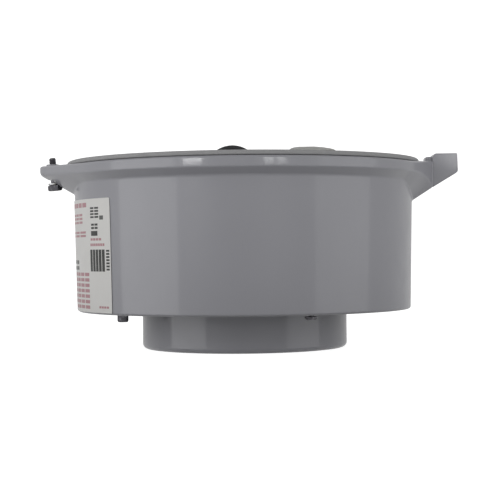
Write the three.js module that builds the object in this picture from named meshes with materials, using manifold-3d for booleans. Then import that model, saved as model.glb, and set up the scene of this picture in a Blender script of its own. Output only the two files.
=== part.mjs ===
// Ballast housing of an industrial high-intensity-discharge luminaire: a die-cast tank that hinges
// on one ear, closes with a captive bolt on the other, and carries the lampholder in its neck.
// Millimetres, +Z up. The origin is the middle of the tank floor's top face, on the neck's axis.
// +X points to the hinge ear, -X to the closure ear.
import * as THREE from "three";
import { ConvexGeometry } from "three/addons/geometries/ConvexGeometry.js";
import { mergeVertices } from "three/addons/utils/BufferGeometryUtils.js";
import Module from "manifold-3d";

const wasm = await Module();
wasm.setup();

// ---------------------------------------------------------------- driving dimensions

const GAP = 0.3; // left between touching pieces
const ROUND_STEPS = 48; // facets round the casting's outside
const HOLLOW_STEPS = 36; // and round its hollows
const SMALL_STEPS = 12; // facets round fasteners and other small turned parts

const RIM_Z = -38.5; // lower rim of the neck, which the part stands on
const NECK_RADIUS = 90.5;
const NECK_BORE = 82.5; // crest of the globe thread
const THREAD_DEPTH = 1.8;
const THREAD_PITCH = 6.35;
const THREAD_TURNS = 3;
const RIM_ROUND = 4.5;
const NECK_FILLET = 3;

const FLOOR_THICKNESS = 5;
const UNDERSIDE_Z = -FLOOR_THICKNESS;
const CEILING_Z = -FLOOR_THICKNESS; // roof of the neck
const WALL_FOOT_RADIUS = 147; // outside of the wall at its foot
const WALL_HEAD_RADIUS = 149.4; // and under the flange: the wall has draft
const WALL_HEAD_Z = 106.7;
const WALL_THICKNESS = 4.2;
const FOOT_ROUND = 3;
const FLOOR_FILLET = 5;

const FLANGE_RADIUS = 157;
const FLANGE_UNDER_Z = 113;
const FLANGE_TOP_Z = 121.1;
const FLANGE_ROUND = 2;
const FLANGE_FILLET = FLANGE_UNDER_Z - WALL_HEAD_Z;

const GASKET_INNER = 145.5;
const GASKET_OUTER = 155.5;
const GASKET_TOP_Z = 126;
const GASKET_ROUND = 1.8;
const GROOVE_MIDDLE = 150.5;
const GROOVE_WIDTH = 4.4;
const GROOVE_DEPTH = 2.3;

const CLOSURE_X = -169.8; // middle of the closure ear's round end
const CLOSURE_RADIUS = 11;
const CLOSURE_TOP_Z = 123.5;
const CLOSURE_UNDER_Z = 115.7;
const CLOSURE_ROOT_Z = 97.6; // where the ear's underside runs into the wall
const ROOT_HALF_WIDTH = 10;

const BOLT_X = -168.8; // bolt axis halfway through the ear
const BOLT_Z = 117.5;
const BOLT_LEAN = (4.9 * Math.PI) / 180; // the bolt hangs with its tip leaning outwards
const BOLT_RADIUS = 3.175;
const BOLT_HEAD_TOP = -10.6; // along the bolt, from (BOLT_X, BOLT_Z)
const BOLT_HEAD_HEIGHT = 5;
const BOLT_HEAD_CORNER = 6.4;
const BOLT_TIP = 13.6;
const BOLT_HOLE_RADIUS = 3.9;
const BOLT_POCKET_RADIUS = 8.2;
const BOLT_POCKET_Z = 111.5;
const BOSS_RADIUS = 5.85;
const BOSS_TOP_Z = 125.2;
const BOSS_SINK = 1.6; // recess for the retaining ring
const WASHER = { radius: 5.6, top: 1.8 };
const RETAINER = { radius: 4.5, from: 6.9, to: 7.7 };

const HINGE_NEAR_X = 170.3; // inner side of the hinge block
const HINGE_END_X = 190.8;
const HINGE_TOP_Z = 131.8;
const HINGE_END_UNDER_Z = 115.4;
const HINGE_ROOT_Z = 89.2;
const HINGE_HALF_WIDTH = 13;
const HINGE_SLOT_HALF = 6.5;
const HINGE_SLOT_X = 173.5;
const HINGE_SLOT_Z = 112;
const HINGE_WEB_TOP_Z = 124.1;
const HINGE_PIN = { x: 182, z: 123.5, radius: 3 };
const STOP_LUG = { from: 161.1, to: 170.8, halfWidth: 7, top: 128.4 };

const BOSS_HEIGHT = 3; // cast pads that carry the gear clear of the floor
const SEAT_Z = BOSS_HEIGHT + GAP;
const PAD_RADIUS = 6;
const TAPPED_HOLE = 2.1; // radius of a screw hole in the casting
const CLEAR_HOLE = 2.4; // and of the hole in the foot that it holds down
const HOLE_STEPS = 10;
const GEAR_SCREW = { radius: 1.8, length: 7, head: 3.8, height: 2.4 };

const GUARD_CIRCLE = 117;
const GUARD_FIRST_ANGLE = 27.9; // degrees from -Y towards +X
const GUARD_HEAD_DROPS = [2.3, 4.6, 5.4, 5.4]; // space between underside and screw head
const GUARD_SCREW = { radius: 2.4, depth: 8, corner: 4.6, head: 4, collar: 5.3 };
const GUARD_BOSS = { radius: 7, top: 8 };

const LABEL = { from: 47, to: 133, bottom: -1.8, top: 90.5, thickness: 0.35 };

const LEAD_HOLE = { y: 38, radius: 7, collar: 12 };
const BUSHING = { bore: 4.6, lip: 10, thickness: 1.5 };
const GLOBE_GASKET = { inner: 71, outer: 80.5, height: 3 };
const SET_SCREW = { z: -20, radius: 2.3, hole: 2.6, proud: 2.6 };

const LAMPHOLDER_SCREW_X = 27;
const LAMPHOLDER_PAD = 7;
const LAMPHOLDER_STRAP = { width: 18, thickness: 2 };
const LAMPHOLDER_TOP = CEILING_Z - GAP - LAMPHOLDER_STRAP.thickness - GAP; // back of the porcelain
const LAMPHOLDER_BOTTOM = -37;
const SOCKET_TOP = -15; // roof of the screw-shell chamber
const SHELL_CHAMBER = 14.3;
const CONTACT_SEAT = -14; // ledge that the contact's flange rests on
const CONTACT_TIP = -18.6;
const CONTACT_FLANGE = 4.3;

const CORE = { x: 57.5, y: -54, stack: 39, width: 64, height: 108, bottom: 25.8 };
const CORE_LEG = 10; // width of each outer leg and yoke; the centre leg is twice this
const COIL_GAP = 0.5;
const COIL_BUILD = 14; // how far a coil stands out of the stack
const CORE_BRACKET_THICKNESS = 2;
const CORE_BOLT_Y = 24; // either side of the core's middle
const CORE_FOOT_X = 28.5;
const CORE_FOOT_Y = 22;

const CAPACITOR = { x: -9, y: -54, radius: 22, top: 108, pad: 14 };
const CAPACITOR_CAP = { radius: 24.2, skirt: 98, shoulder: 126, top: 136.2, wall: 1.8 };
const CAPACITOR_FOOT_X = -43;
const CLAMP = { from: 44, to: 62, thickness: 1.5, halfWidth: 8 };

const IGNITOR = { x: -72, y: 30, width: 46, depth: 32, height: 56 };
const IGNITOR_FOOT_X = 30;

const TERMINAL = { x: 10, y: 74, width: 64, depth: 24, height: 14, screws: 4, pitch: 13 };
const TERMINAL_FOOT_X = 27;

const GROUND = { x: 98, y: 40, boss: 7, height: 5 };
const LEAD_RADIUS = 1.4;

// ---------------------------------------------------------------- materials

function finish(color, roughness, metalness) {
  return new THREE.MeshStandardMaterial({ color, roughness, metalness, flatShading: true });
}

const paint = finish(0x86868b, 0.45, 0);
const rubber = finish(0x6f7070, 0.8, 0);
const blackRubber = finish(0x17171a, 0.6, 0);
const plated = finish(0x8f9092, 0.4, 0.9);
const darkSteel = finish(0x4a4b4e, 0.5, 0.8);
const porcelain = finish(0xe9e6dc, 0.25, 0);
const brass = finish(0xb98f4c, 0.35, 0.9);
const springSteel = finish(0x9a9a98, 0.35, 0.9);
const paper = finish(0xdcdcda, 0.6, 0);
const lamination = finish(0x8b8a84, 0.55, 0.3);
const winding = finish(0x7d5a2c, 0.5, 0.1);
const aluminium = finish(0xb8b9bb, 0.4, 0.9);
const phenolic = finish(0x2a2622, 0.5, 0);
const potting = finish(0xd9d5cb, 0.5, 0);
const green = finish(0x2f7a45, 0.5, 0);
const leadColors = {
  line_lead: finish(0x1c1c1e, 0.5, 0),
  ignitor_lead: finish(0x2d4f93, 0.5, 0),
  capacitor_lead_1: finish(0xc9a23a, 0.5, 0),
  capacitor_lead_2: finish(0xc9a23a, 0.5, 0),
  lamp_lead: finish(0xb23a2c, 0.5, 0),
  shell_lead: finish(0xdad8d2, 0.5, 0),
  ground_lead: green,
};

// ---------------------------------------------------------------- joining and cutting

function toSolid(geometry) {
  const bare = geometry.clone();
  bare.deleteAttribute("normal");
  bare.deleteAttribute("uv");
  const merged = mergeVertices(bare, 1e-4);
  const vertProperties = merged.attributes.position.array;
  const triVerts = new Uint32Array(merged.index.array);
  const made = new wasm.Manifold(new wasm.Mesh({ numProp: 3, vertProperties, triVerts }));
  if (made.volume() > 0) return made;
  const reversed = triVerts.slice().reverse();
  return new wasm.Manifold(new wasm.Mesh({ numProp: 3, vertProperties, triVerts: reversed }));
}

function toGeometry(made) {
  const { vertProperties, triVerts } = made.getMesh();
  const geometry = new THREE.BufferGeometry();
  geometry.setAttribute("position", new THREE.BufferAttribute(vertProperties, 3));
  geometry.setIndex(new THREE.BufferAttribute(triVerts, 1));
  geometry.computeVertexNormals();
  return geometry;
}

function join(first, ...others) {
  return toGeometry(others.reduce((sum, other) => sum.add(toSolid(other)), toSolid(first)));
}

function cut(first, ...others) {
  return toGeometry(others.reduce((rest, other) => rest.subtract(toSolid(other)), toSolid(first)));
}

function common(first, second) {
  return toGeometry(toSolid(first).intersect(toSolid(second)));
}

// ---------------------------------------------------------------- basic shapes

// Points on an arc about (r, z), from one angle to another in degrees, as [radius, height].
function arc(r, z, radius, from, to, steps) {
  return Array.from({ length: steps + 1 }, (_, i) => {
    const angle = THREE.MathUtils.degToRad(from + ((to - from) * i) / steps);
    return [r + radius * Math.cos(angle), z + radius * Math.sin(angle)];
  });
}

// A turned solid about Z. The profile's [radius, height] points start and end on the axis.
function turned(profile, steps = SMALL_STEPS) {
  const points = profile.map(([r, z]) => new THREE.Vector2(r, z));
  return toGeometry(toSolid(new THREE.LatheGeometry(points, steps).rotateX(Math.PI / 2)));
}

// A turned ring about Z, whose profile closes on itself.
function ring(profile, steps = SMALL_STEPS) {
  return turned([...profile, profile[0]], steps);
}

// A straight round bar along Z.
function rod(radius, bottom, top, steps = SMALL_STEPS) {
  const bar = new THREE.CylinderGeometry(radius, radius, top - bottom, steps);
  return bar.rotateX(Math.PI / 2).translate(0, 0, (bottom + top) / 2);
}

// A block given by its lowest and highest corners.
function block([x0, y0, z0], [x1, y1, z1]) {
  const box = new THREE.BoxGeometry(x1 - x0, y1 - y0, z1 - z0);
  return box.translate((x0 + x1) / 2, (y0 + y1) / 2, (z0 + z1) / 2);
}

// A block with its four upright edges rounded.
function roundedBlock(width, depth, bottom, top, radius, holes = []) {
  const shape = roundedRectangle(width, depth, radius);
  holes.forEach(([w, d, r]) => shape.holes.push(roundedRectangle(w, d, r)));
  const options = { depth: top - bottom, bevelEnabled: false, curveSegments: 3 };
  return new THREE.ExtrudeGeometry(shape, options).translate(0, 0, bottom);
}

function roundedRectangle(width, depth, radius) {
  const x = width / 2 - radius;
  const y = depth / 2 - radius;
  const shape = new THREE.Shape();
  shape.absarc(x, y, radius, 0, Math.PI / 2);
  shape.absarc(-x, y, radius, Math.PI / 2, Math.PI);
  shape.absarc(-x, -y, radius, Math.PI, 1.5 * Math.PI);
  shape.absarc(x, -y, radius, 1.5 * Math.PI, 2 * Math.PI);
  shape.closePath();
  return shape;
}

function hull(points) {
  return new ConvexGeometry(points.map(([x, y, z]) => new THREE.Vector3(x, y, z)));
}

// A round wire through the given points.
function wire(points, radius = LEAD_RADIUS, steps = 16, sides = 8) {
  const path = new THREE.CatmullRomCurve3(points.map(([x, y, z]) => new THREE.Vector3(x, y, z)));
  const section = new THREE.Shape();
  for (let i = 0; i < sides; i++) {
    const angle = (2 * Math.PI * i) / sides;
    section[i ? "lineTo" : "moveTo"](radius * Math.cos(angle), radius * Math.sin(angle));
  }
  section.closePath();
  return new THREE.ExtrudeGeometry(section, { steps, extrudePath: path, bevelEnabled: false });
}

// A hexagon-head screw along Z: head below the seat at z = 0, shank above it.
function hexScrew(radius, length, corner, headHeight, collarRadius = 0) {
  const head = rod(corner, -headHeight, 0, 6);
  const shank = rod(radius, -0.5, length, 12);
  if (!collarRadius) return join(head, shank);
  return join(head, shank, rod(collarRadius, -1, 0, SMALL_STEPS));
}

// A pan-head screw along Z: head above the seat at z = 0, shank below it.
function panScrew(radius, length, headRadius, headHeight) {
  return turned(
    [
      [0, -length],
      [radius, -length],
      [radius, 0],
      [headRadius, 0],
      [headRadius, headHeight * 0.5],
      [headRadius * 0.7, headHeight],
      [0, headHeight],
    ],
    8,
  );
}

function gearScrew() {
  const { radius, length, head, height } = GEAR_SCREW;
  return panScrew(radius, length, head, height);
}

function mesh(name, geometry, material, [x, y, z] = [0, 0, 0]) {
  const made = new THREE.Mesh(geometry, material);
  made.name = name;
  made.position.set(x, y, z);
  return made;
}

function group(...children) {
  const made = new THREE.Group();
  made.add(...children);
  return made;
}

// ---------------------------------------------------------------- the casting

// Outside of the tank, flange and neck, as one filled solid.
function castingOutside() {
  const rimRound = arc(NECK_RADIUS - RIM_ROUND, RIM_Z + RIM_ROUND, RIM_ROUND, -90, 0, 3);
  const neckFillet = arc(
    NECK_RADIUS + NECK_FILLET,
    UNDERSIDE_Z - NECK_FILLET,
    NECK_FILLET,
    180,
    90,
    2,
  );
  const footRound = arc(
    WALL_FOOT_RADIUS - FOOT_ROUND,
    UNDERSIDE_Z + FOOT_ROUND,
    FOOT_ROUND,
    -90,
    0,
    3,
  );
  const flangeFillet = arc(
    WALL_HEAD_RADIUS + FLANGE_FILLET,
    WALL_HEAD_Z,
    FLANGE_FILLET,
    180,
    90,
    4,
  );
  const flangeRound = arc(
    FLANGE_RADIUS - FLANGE_ROUND,
    FLANGE_TOP_Z - FLANGE_ROUND,
    FLANGE_ROUND,
    0,
    90,
    3,
  );
  return turned(
    [
      [0, RIM_Z],
      ...rimRound,
      ...neckFillet,
      ...footRound,
      ...flangeFillet,
      [FLANGE_RADIUS, FLANGE_UNDER_Z],
      ...flangeRound,
      [0, FLANGE_TOP_Z],
    ],
    ROUND_STEPS,
  );
}

// The tank's inside, open at the top.
function tankHollow() {
  const foot = WALL_FOOT_RADIUS - WALL_THICKNESS;
  const head = WALL_HEAD_RADIUS - WALL_THICKNESS;
  return turned(
    [
      [0, 0],
      ...arc(foot - FLOOR_FILLET, FLOOR_FILLET, FLOOR_FILLET, -90, 0, 2),
      [head, FLANGE_TOP_Z + 1],
      [0, FLANGE_TOP_Z + 1],
    ],
    HOLLOW_STEPS,
  );
}

// The neck's inside, with rounded grooves that stand for the globe thread.
function neckHollow() {
  const bottom = RIM_Z - 1;
  const profile = [
    [0, bottom],
    [NECK_BORE + 1, bottom],
    [NECK_BORE + 1, RIM_Z],
    [NECK_BORE, RIM_Z + 1],
  ];
  for (let turn = 0; turn < THREAD_TURNS; turn++) {
    const middle = RIM_Z + 5.5 + turn * THREAD_PITCH;
    profile.push([NECK_BORE, middle - 1.8]);
    profile.push([NECK_BORE + THREAD_DEPTH, middle]);
    profile.push([NECK_BORE, middle + 1.8]);
  }
  profile.push([NECK_BORE, CEILING_Z], [0, CEILING_Z]);
  return turned(profile, HOLLOW_STEPS);
}

function gasketGroove() {
  const inner = GROOVE_MIDDLE - GROOVE_WIDTH / 2;
  const outer = GROOVE_MIDDLE + GROOVE_WIDTH / 2;
  const bottom = FLANGE_TOP_Z - GROOVE_DEPTH;
  const top = FLANGE_TOP_Z + 1;
  const profile = [
    [inner, bottom],
    [outer, bottom],
    [outer, top],
    [inner, top],
  ];
  return ring(profile, ROUND_STEPS);
}

// Room above the flange for the gasket, which also ends both ears' top faces.
function gasketSeat() {
  return rod(GASKET_OUTER + 0.8, FLANGE_TOP_Z, FLANGE_TOP_Z + 20, ROUND_STEPS);
}

// Points where a line from (x, half) touches the flange circle, on both sides, at each height.
function flangeTangents(x, half, heights) {
  const side = Math.sign(x);
  const reach = Math.hypot(x, half);
  const radius = FLANGE_RADIUS - 0.4;
  const angle = Math.atan2(half, Math.abs(x)) + Math.acos(radius / reach);
  return heights.flatMap((z) => [
    [side * radius * Math.cos(angle), radius * Math.sin(angle), z],
    [side * radius * Math.cos(angle), -radius * Math.sin(angle), z],
  ]);
}

// Closure ear: a spout that runs out of the flange to a round end, with a boss for the bolt.
function closureEar() {
  const end = [];
  for (let i = 0; i <= 12; i++) {
    const angle = Math.PI / 2 + (Math.PI * i) / 12;
    const x = CLOSURE_X + CLOSURE_RADIUS * Math.cos(angle);
    const y = CLOSURE_RADIUS * Math.sin(angle);
    end.push([x, y, CLOSURE_TOP_Z], [x, y, CLOSURE_UNDER_Z]);
  }
  const rootX = -(WALL_HEAD_RADIUS - 2);
  const body = hull([
    ...end,
    ...flangeTangents(CLOSURE_X, CLOSURE_RADIUS, [FLANGE_UNDER_Z + 0.4, FLANGE_TOP_Z - 0.6]),
    [rootX, ROOT_HALF_WIDTH, CLOSURE_ROOT_Z],
    [rootX, -ROOT_HALF_WIDTH, CLOSURE_ROOT_Z],
    [rootX, 0, CLOSURE_TOP_Z - 1.2],
  ]);
  const boss = rod(BOSS_RADIUS, CLOSURE_UNDER_Z, BOSS_TOP_Z, 20);
  return join(body, boss.translate(CLOSURE_X + 0.4, 0, 0));
}

function closureCuts() {
  const hole = rod(BOLT_HOLE_RADIUS, CLOSURE_ROOT_Z - 10, BOSS_TOP_Z + 1, 20);
  const pocket = rod(BOLT_POCKET_RADIUS, CLOSURE_ROOT_Z - 10, BOLT_POCKET_Z, 20);
  const sink = rod(BOSS_RADIUS - 0.85, BOSS_TOP_Z - BOSS_SINK, BOSS_TOP_Z + 1, 20);
  return [hole, pocket, sink.translate(-0.6, 0, 0)].map((tool) => tool.translate(BOLT_X, 0, 0));
}

// Hinge ear: a spout with a stop lug and a slotted block at its end.
function hingeEar() {
  const rootX = WALL_HEAD_RADIUS - 2;
  const slope = (HINGE_END_UNDER_Z - HINGE_ROOT_Z) / (HINGE_END_X - rootX);
  const nearUnder = HINGE_ROOT_Z + slope * (HINGE_NEAR_X - rootX);
  const sides = [HINGE_HALF_WIDTH, -HINGE_HALF_WIDTH];
  const web = hull([
    ...flangeTangents(HINGE_NEAR_X, HINGE_HALF_WIDTH, [FLANGE_UNDER_Z + 0.4, FLANGE_TOP_Z - 0.6]),
    ...sides.flatMap((y) => [
      [HINGE_NEAR_X + 0.2, y, HINGE_WEB_TOP_Z],
      [HINGE_NEAR_X + 0.2, y, nearUnder],
    ]),
    [rootX, ROOT_HALF_WIDTH, HINGE_ROOT_Z],
    [rootX, -ROOT_HALF_WIDTH, HINGE_ROOT_Z],
    [rootX, 0, HINGE_WEB_TOP_Z - 1.2],
  ]);
  const end = hull(
    sides.flatMap((y) => [
      [HINGE_NEAR_X, y, nearUnder],
      [HINGE_END_X, y, HINGE_END_UNDER_Z],
      [HINGE_END_X, y, HINGE_TOP_Z],
      [HINGE_NEAR_X + 1.5, y, HINGE_TOP_Z],
      [HINGE_NEAR_X, y, HINGE_TOP_Z - 1.5],
    ]),
  );
  const { from, to, halfWidth, top } = STOP_LUG;
  const lug = hull(
    [halfWidth, -halfWidth].flatMap((y) => [
      [from, y, HINGE_WEB_TOP_Z - 3],
      [from, y, top - 2],
      [from + 1.2, y, top],
      [to, y, top],
      [to, y, HINGE_WEB_TOP_Z - 3],
    ]),
  );
  return join(web, end, lug);
}

function hingeCuts() {
  const slot = block(
    [HINGE_SLOT_X, -HINGE_SLOT_HALF, HINGE_SLOT_Z],
    [HINGE_END_X + 1, HINGE_SLOT_HALF, HINGE_TOP_Z + 1],
  );
  const { x, z, radius } = HINGE_PIN;
  const bore = rod(radius + GAP, -HINGE_HALF_WIDTH - 1, HINGE_HALF_WIDTH - 2.2, SMALL_STEPS);
  return [slot, bore.rotateX(Math.PI / 2).translate(x, 0, z)];
}

function guardScrewPlace(index) {
  const angle = THREE.MathUtils.degToRad(GUARD_FIRST_ANGLE + 90 * index);
  return [GUARD_CIRCLE * Math.sin(angle), -GUARD_CIRCLE * Math.cos(angle)];
}

// Places of the cast pads on the tank floor, with the radius and height of each.
function floorPads() {
  const pads = [];
  for (const side of [-1, 1]) {
    for (const y of [-CORE_FOOT_Y, CORE_FOOT_Y]) {
      pads.push({ x: CORE.x + side * CORE_FOOT_X, y: CORE.y + y, radius: PAD_RADIUS });
    }
    pads.push({ x: IGNITOR.x + side * IGNITOR_FOOT_X, y: IGNITOR.y, radius: PAD_RADIUS });
    pads.push({ x: TERMINAL.x + side * TERMINAL_FOOT_X, y: TERMINAL.y, radius: PAD_RADIUS });
    pads.push({ x: side * LAMPHOLDER_SCREW_X, y: 0, radius: LAMPHOLDER_PAD });
  }
  pads.push({ x: CAPACITOR_FOOT_X, y: CAPACITOR.y, radius: PAD_RADIUS });
  return pads;
}

// A round post, or the tool for a hole, at (x, y) from a bottom up to a top.
function post(radius, top, [x, y], bottom = -1, steps = SMALL_STEPS) {
  return rod(radius, bottom, top, steps).translate(x, y, 0);
}

function ballastHousing() {
  const hollowed = cut(
    join(castingOutside(), closureEar(), hingeEar()),
    tankHollow(),
    neckHollow(),
    gasketSeat(),
    gasketGroove(),
    ...closureCuts(),
    ...hingeCuts(),
  );
  const pads = floorPads();
  const guardPlaces = GUARD_HEAD_DROPS.map((_, index) => guardScrewPlace(index));
  const leadPlace = [0, LEAD_HOLE.y];
  const groundPlace = [GROUND.x, GROUND.y];
  const raised = [
    ...pads.map(({ x, y, radius }) => post(radius, BOSS_HEIGHT, [x, y])),
    post(CAPACITOR.pad, BOSS_HEIGHT, [CAPACITOR.x, CAPACITOR.y]),
    post(GROUND.boss, GROUND.height, groundPlace),
    post(LEAD_HOLE.collar, BOSS_HEIGHT, leadPlace, -1, 20),
    ...guardPlaces.map((place) => post(GUARD_BOSS.radius, GUARD_BOSS.top, place)),
  ];
  const blind = -FLOOR_THICKNESS / 2;
  const gearHoles = pads
    .filter(({ y }) => y !== 0)
    .map(({ x, y }) => post(TAPPED_HOLE, BOSS_HEIGHT + 1, [x, y], blind, HOLE_STEPS));
  const lampholderHoles = [-LAMPHOLDER_SCREW_X, LAMPHOLDER_SCREW_X].map((x) =>
    post(TAPPED_HOLE, 1.2, [x, 0], CEILING_Z - 1, HOLE_STEPS),
  );
  const guardHoles = guardPlaces.map((place) =>
    post(GUARD_SCREW.radius + GAP, GUARD_BOSS.top - 3, place, UNDERSIDE_Z - 1),
  );
  const setScrewHole = rod(SET_SCREW.hole, -NECK_RADIUS - 1, -NECK_BORE + 1);
  return cut(
    join(hollowed, ...raised),
    ...gearHoles,
    ...lampholderHoles,
    ...guardHoles,
    post(TAPPED_HOLE, GROUND.height + 1, groundPlace, -1, HOLE_STEPS),
    post(LEAD_HOLE.radius, BOSS_HEIGHT + 1, leadPlace, CEILING_Z - 1, 20),
    setScrewHole.rotateX(Math.PI / 2).translate(0, 0, SET_SCREW.z),
  );
}

// Gasket with a rounded bead on top of the flange and a leg in the groove.
function hoodGasket() {
  const bottom = FLANGE_TOP_Z + GAP;
  const legBottom = FLANGE_TOP_Z - GROOVE_DEPTH + GAP;
  const legInner = GROOVE_MIDDLE - GROOVE_WIDTH / 2 + GAP;
  const legOuter = GROOVE_MIDDLE + GROOVE_WIDTH / 2 - GAP;
  const round = GASKET_ROUND;
  return ring(
    [
      [legInner, bottom],
      [legInner, legBottom],
      [legOuter, legBottom],
      [legOuter, bottom],
      [GASKET_OUTER - round / 2, bottom],
      [GASKET_OUTER, bottom + round / 2],
      ...arc(GASKET_OUTER - round, GASKET_TOP_Z - round, round, 0, 90, 1),
      ...arc(GASKET_INNER + round, GASKET_TOP_Z - round, round, 90, 180, 1),
      [GASKET_INNER, bottom],
    ],
    ROUND_STEPS,
  );
}

// A thin curved plate that follows the wall's draft.
function dataLabel() {
  const { from, to, bottom, top, thickness } = LABEL;
  const slope = (WALL_HEAD_RADIUS - WALL_FOOT_RADIUS) / (WALL_HEAD_Z - UNDERSIDE_Z - FOOT_ROUND);
  const radiusAt = (z) => WALL_FOOT_RADIUS + slope * (z - UNDERSIDE_Z - FOOT_ROUND) + GAP;
  const profile = [
    [radiusAt(bottom), bottom],
    [radiusAt(bottom) + thickness, bottom],
    [radiusAt(top) + thickness, top],
    [radiusAt(top), top],
  ];
  const reach = 2 * FLANGE_RADIUS;
  const wedge = new THREE.Shape();
  wedge.moveTo(0, 0);
  for (const degrees of [from, (from + to) / 2, to]) {
    const angle = THREE.MathUtils.degToRad(degrees);
    wedge.lineTo(-reach * Math.sin(angle), -reach * Math.cos(angle));
  }
  wedge.closePath();
  const sector = new THREE.ExtrudeGeometry(wedge, { depth: top + 10, bevelEnabled: false });
  return common(ring(profile, ROUND_STEPS), sector.translate(0, 0, -5));
}

function hingePin() {
  const { x, z, radius } = HINGE_PIN;
  const pin = rod(radius, -HINGE_HALF_WIDTH, HINGE_HALF_WIDTH - 2.6, SMALL_STEPS);
  return mesh("hinge_pin", pin.rotateX(Math.PI / 2), plated, [x, 0, z]);
}

function guardScrews() {
  return GUARD_HEAD_DROPS.map((drop, index) => {
    const [x, y] = guardScrewPlace(index);
    const { radius, depth, corner, head, collar } = GUARD_SCREW;
    const screw = hexScrew(radius, drop + depth, corner, head, collar);
    return mesh(`guard_screw_${index + 1}`, screw, darkSteel, [x, y, UNDERSIDE_Z - drop]);
  });
}

function globeSetScrew() {
  const screw = rod(SET_SCREW.radius, -NECK_RADIUS - SET_SCREW.proud, -NECK_BORE - 1);
  return mesh("globe_set_screw", screw.rotateX(Math.PI / 2), plated, [0, 0, SET_SCREW.z]);
}

function globeGasket() {
  const { inner, outer, height } = GLOBE_GASKET;
  const top = CEILING_Z - GAP;
  const profile = [
    [inner, top - height],
    [outer, top - height],
    [outer, top],
    [inner, top],
  ];
  return ring(profile, ROUND_STEPS);
}

function leadBushing() {
  const { bore, lip, thickness } = BUSHING;
  const profile = [
    [bore, CEILING_Z - thickness],
    [LEAD_HOLE.radius - GAP, CEILING_Z - thickness],
    [LEAD_HOLE.radius - GAP, SEAT_Z],
    [lip, SEAT_Z],
    [lip, SEAT_Z + thickness],
    [bore, SEAT_Z + thickness],
  ];
  return ring(profile, 20);
}

// ---------------------------------------------------------------- captive closure bolt

// Bolt, washer and retaining ring share an axis that leans outwards at the top.
function closureBolt() {
  const head = rod(BOLT_HEAD_CORNER, BOLT_HEAD_TOP - BOLT_HEAD_HEIGHT, BOLT_HEAD_TOP, 6);
  const shank = turned([
    [0, BOLT_HEAD_TOP - 1],
    [BOLT_RADIUS, BOLT_HEAD_TOP - 1],
    [BOLT_RADIUS, BOLT_TIP - 1],
    [BOLT_RADIUS - 1, BOLT_TIP],
    [0, BOLT_TIP],
  ]);
  const washer = [
    [BOLT_RADIUS + GAP, BOLT_HEAD_TOP + GAP],
    [WASHER.radius, BOLT_HEAD_TOP + GAP],
    [WASHER.radius, BOLT_HEAD_TOP + WASHER.top],
    [BOLT_RADIUS + GAP, BOLT_HEAD_TOP + WASHER.top],
  ];
  const retainer = [
    [BOLT_RADIUS + GAP / 2, RETAINER.from],
    [RETAINER.radius, RETAINER.from],
    [RETAINER.radius, RETAINER.to],
    [BOLT_RADIUS + GAP / 2, RETAINER.to],
  ];
  const made = group(
    mesh("closure_bolt", join(head, shank), darkSteel),
    mesh("closure_washer", ring(washer), plated),
    mesh("closure_retaining_ring", ring(retainer), springSteel),
  );
  made.position.set(BOLT_X, 0, BOLT_Z);
  made.rotation.y = -BOLT_LEAN;
  return made;
}

// ---------------------------------------------------------------- lampholder in the neck

function lampholderBracket() {
  const { width, thickness } = LAMPHOLDER_STRAP;
  const bottom = LAMPHOLDER_TOP + GAP;
  const top = bottom + thickness;
  const strap = roundedBlock(2 * (LAMPHOLDER_SCREW_X + LAMPHOLDER_PAD), width, bottom, top, 4);
  const holes = [-LAMPHOLDER_SCREW_X, LAMPHOLDER_SCREW_X].map((x) =>
    post(CLEAR_HOLE, top + 1, [x, 0], bottom - 1, HOLE_STEPS),
  );
  return cut(strap, ...holes);
}

function lampholderBody() {
  const body = turned(
    [
      [0, CONTACT_SEAT],
      [3.3, CONTACT_SEAT],
      [3.3, SOCKET_TOP],
      [SHELL_CHAMBER, SOCKET_TOP],
      [SHELL_CHAMBER, LAMPHOLDER_BOTTOM],
      [19, LAMPHOLDER_BOTTOM],
      [20.5, LAMPHOLDER_BOTTOM + 1.5],
      [20.5, SOCKET_TOP - 3],
      [22, SOCKET_TOP - 1.5],
      [22, LAMPHOLDER_TOP - 1],
      [21, LAMPHOLDER_TOP],
      [0, LAMPHOLDER_TOP],
    ],
    28,
  );
  const chamber = rod(CONTACT_FLANGE + 0.5, CONTACT_SEAT, LAMPHOLDER_TOP + 1, SMALL_STEPS);
  const stemHole = rod(3.3, SOCKET_TOP - 1, CONTACT_SEAT + 1, SMALL_STEPS);
  const pockets = [-5, 5].map((x) =>
    rod(LEAD_RADIUS + 0.5, -24, -14, HOLE_STEPS)
      .rotateX(Math.PI / 2)
      .translate(x, 0, -11),
  );
  return cut(body, chamber, stemHole, ...pockets);
}

// Rolled brass shell with the rounded thread of a medium lamp base.
function screwShell() {
  const bottom = LAMPHOLDER_BOTTOM + 1;
  const top = SOCKET_TOP - GAP;
  const waves = 4;
  const outside = [];
  for (let i = 0; i <= 2 * waves; i++) {
    const z = bottom + ((top - bottom) * i) / (2 * waves);
    outside.push([SHELL_CHAMBER - (i % 2 ? 0.4 : 1), z]);
  }
  const inside = outside.map(([r, z]) => [r - 0.5, z]).reverse();
  return ring([...outside, ...inside], 20);
}

function centreContact() {
  const seat = CONTACT_SEAT + GAP;
  return turned([
    [0, CONTACT_TIP],
    [2, CONTACT_TIP],
    [2.9, CONTACT_TIP + 0.9],
    [2.9, seat],
    [CONTACT_FLANGE, seat],
    [CONTACT_FLANGE, seat + 1],
    [0, seat + 1],
  ]);
}

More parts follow.
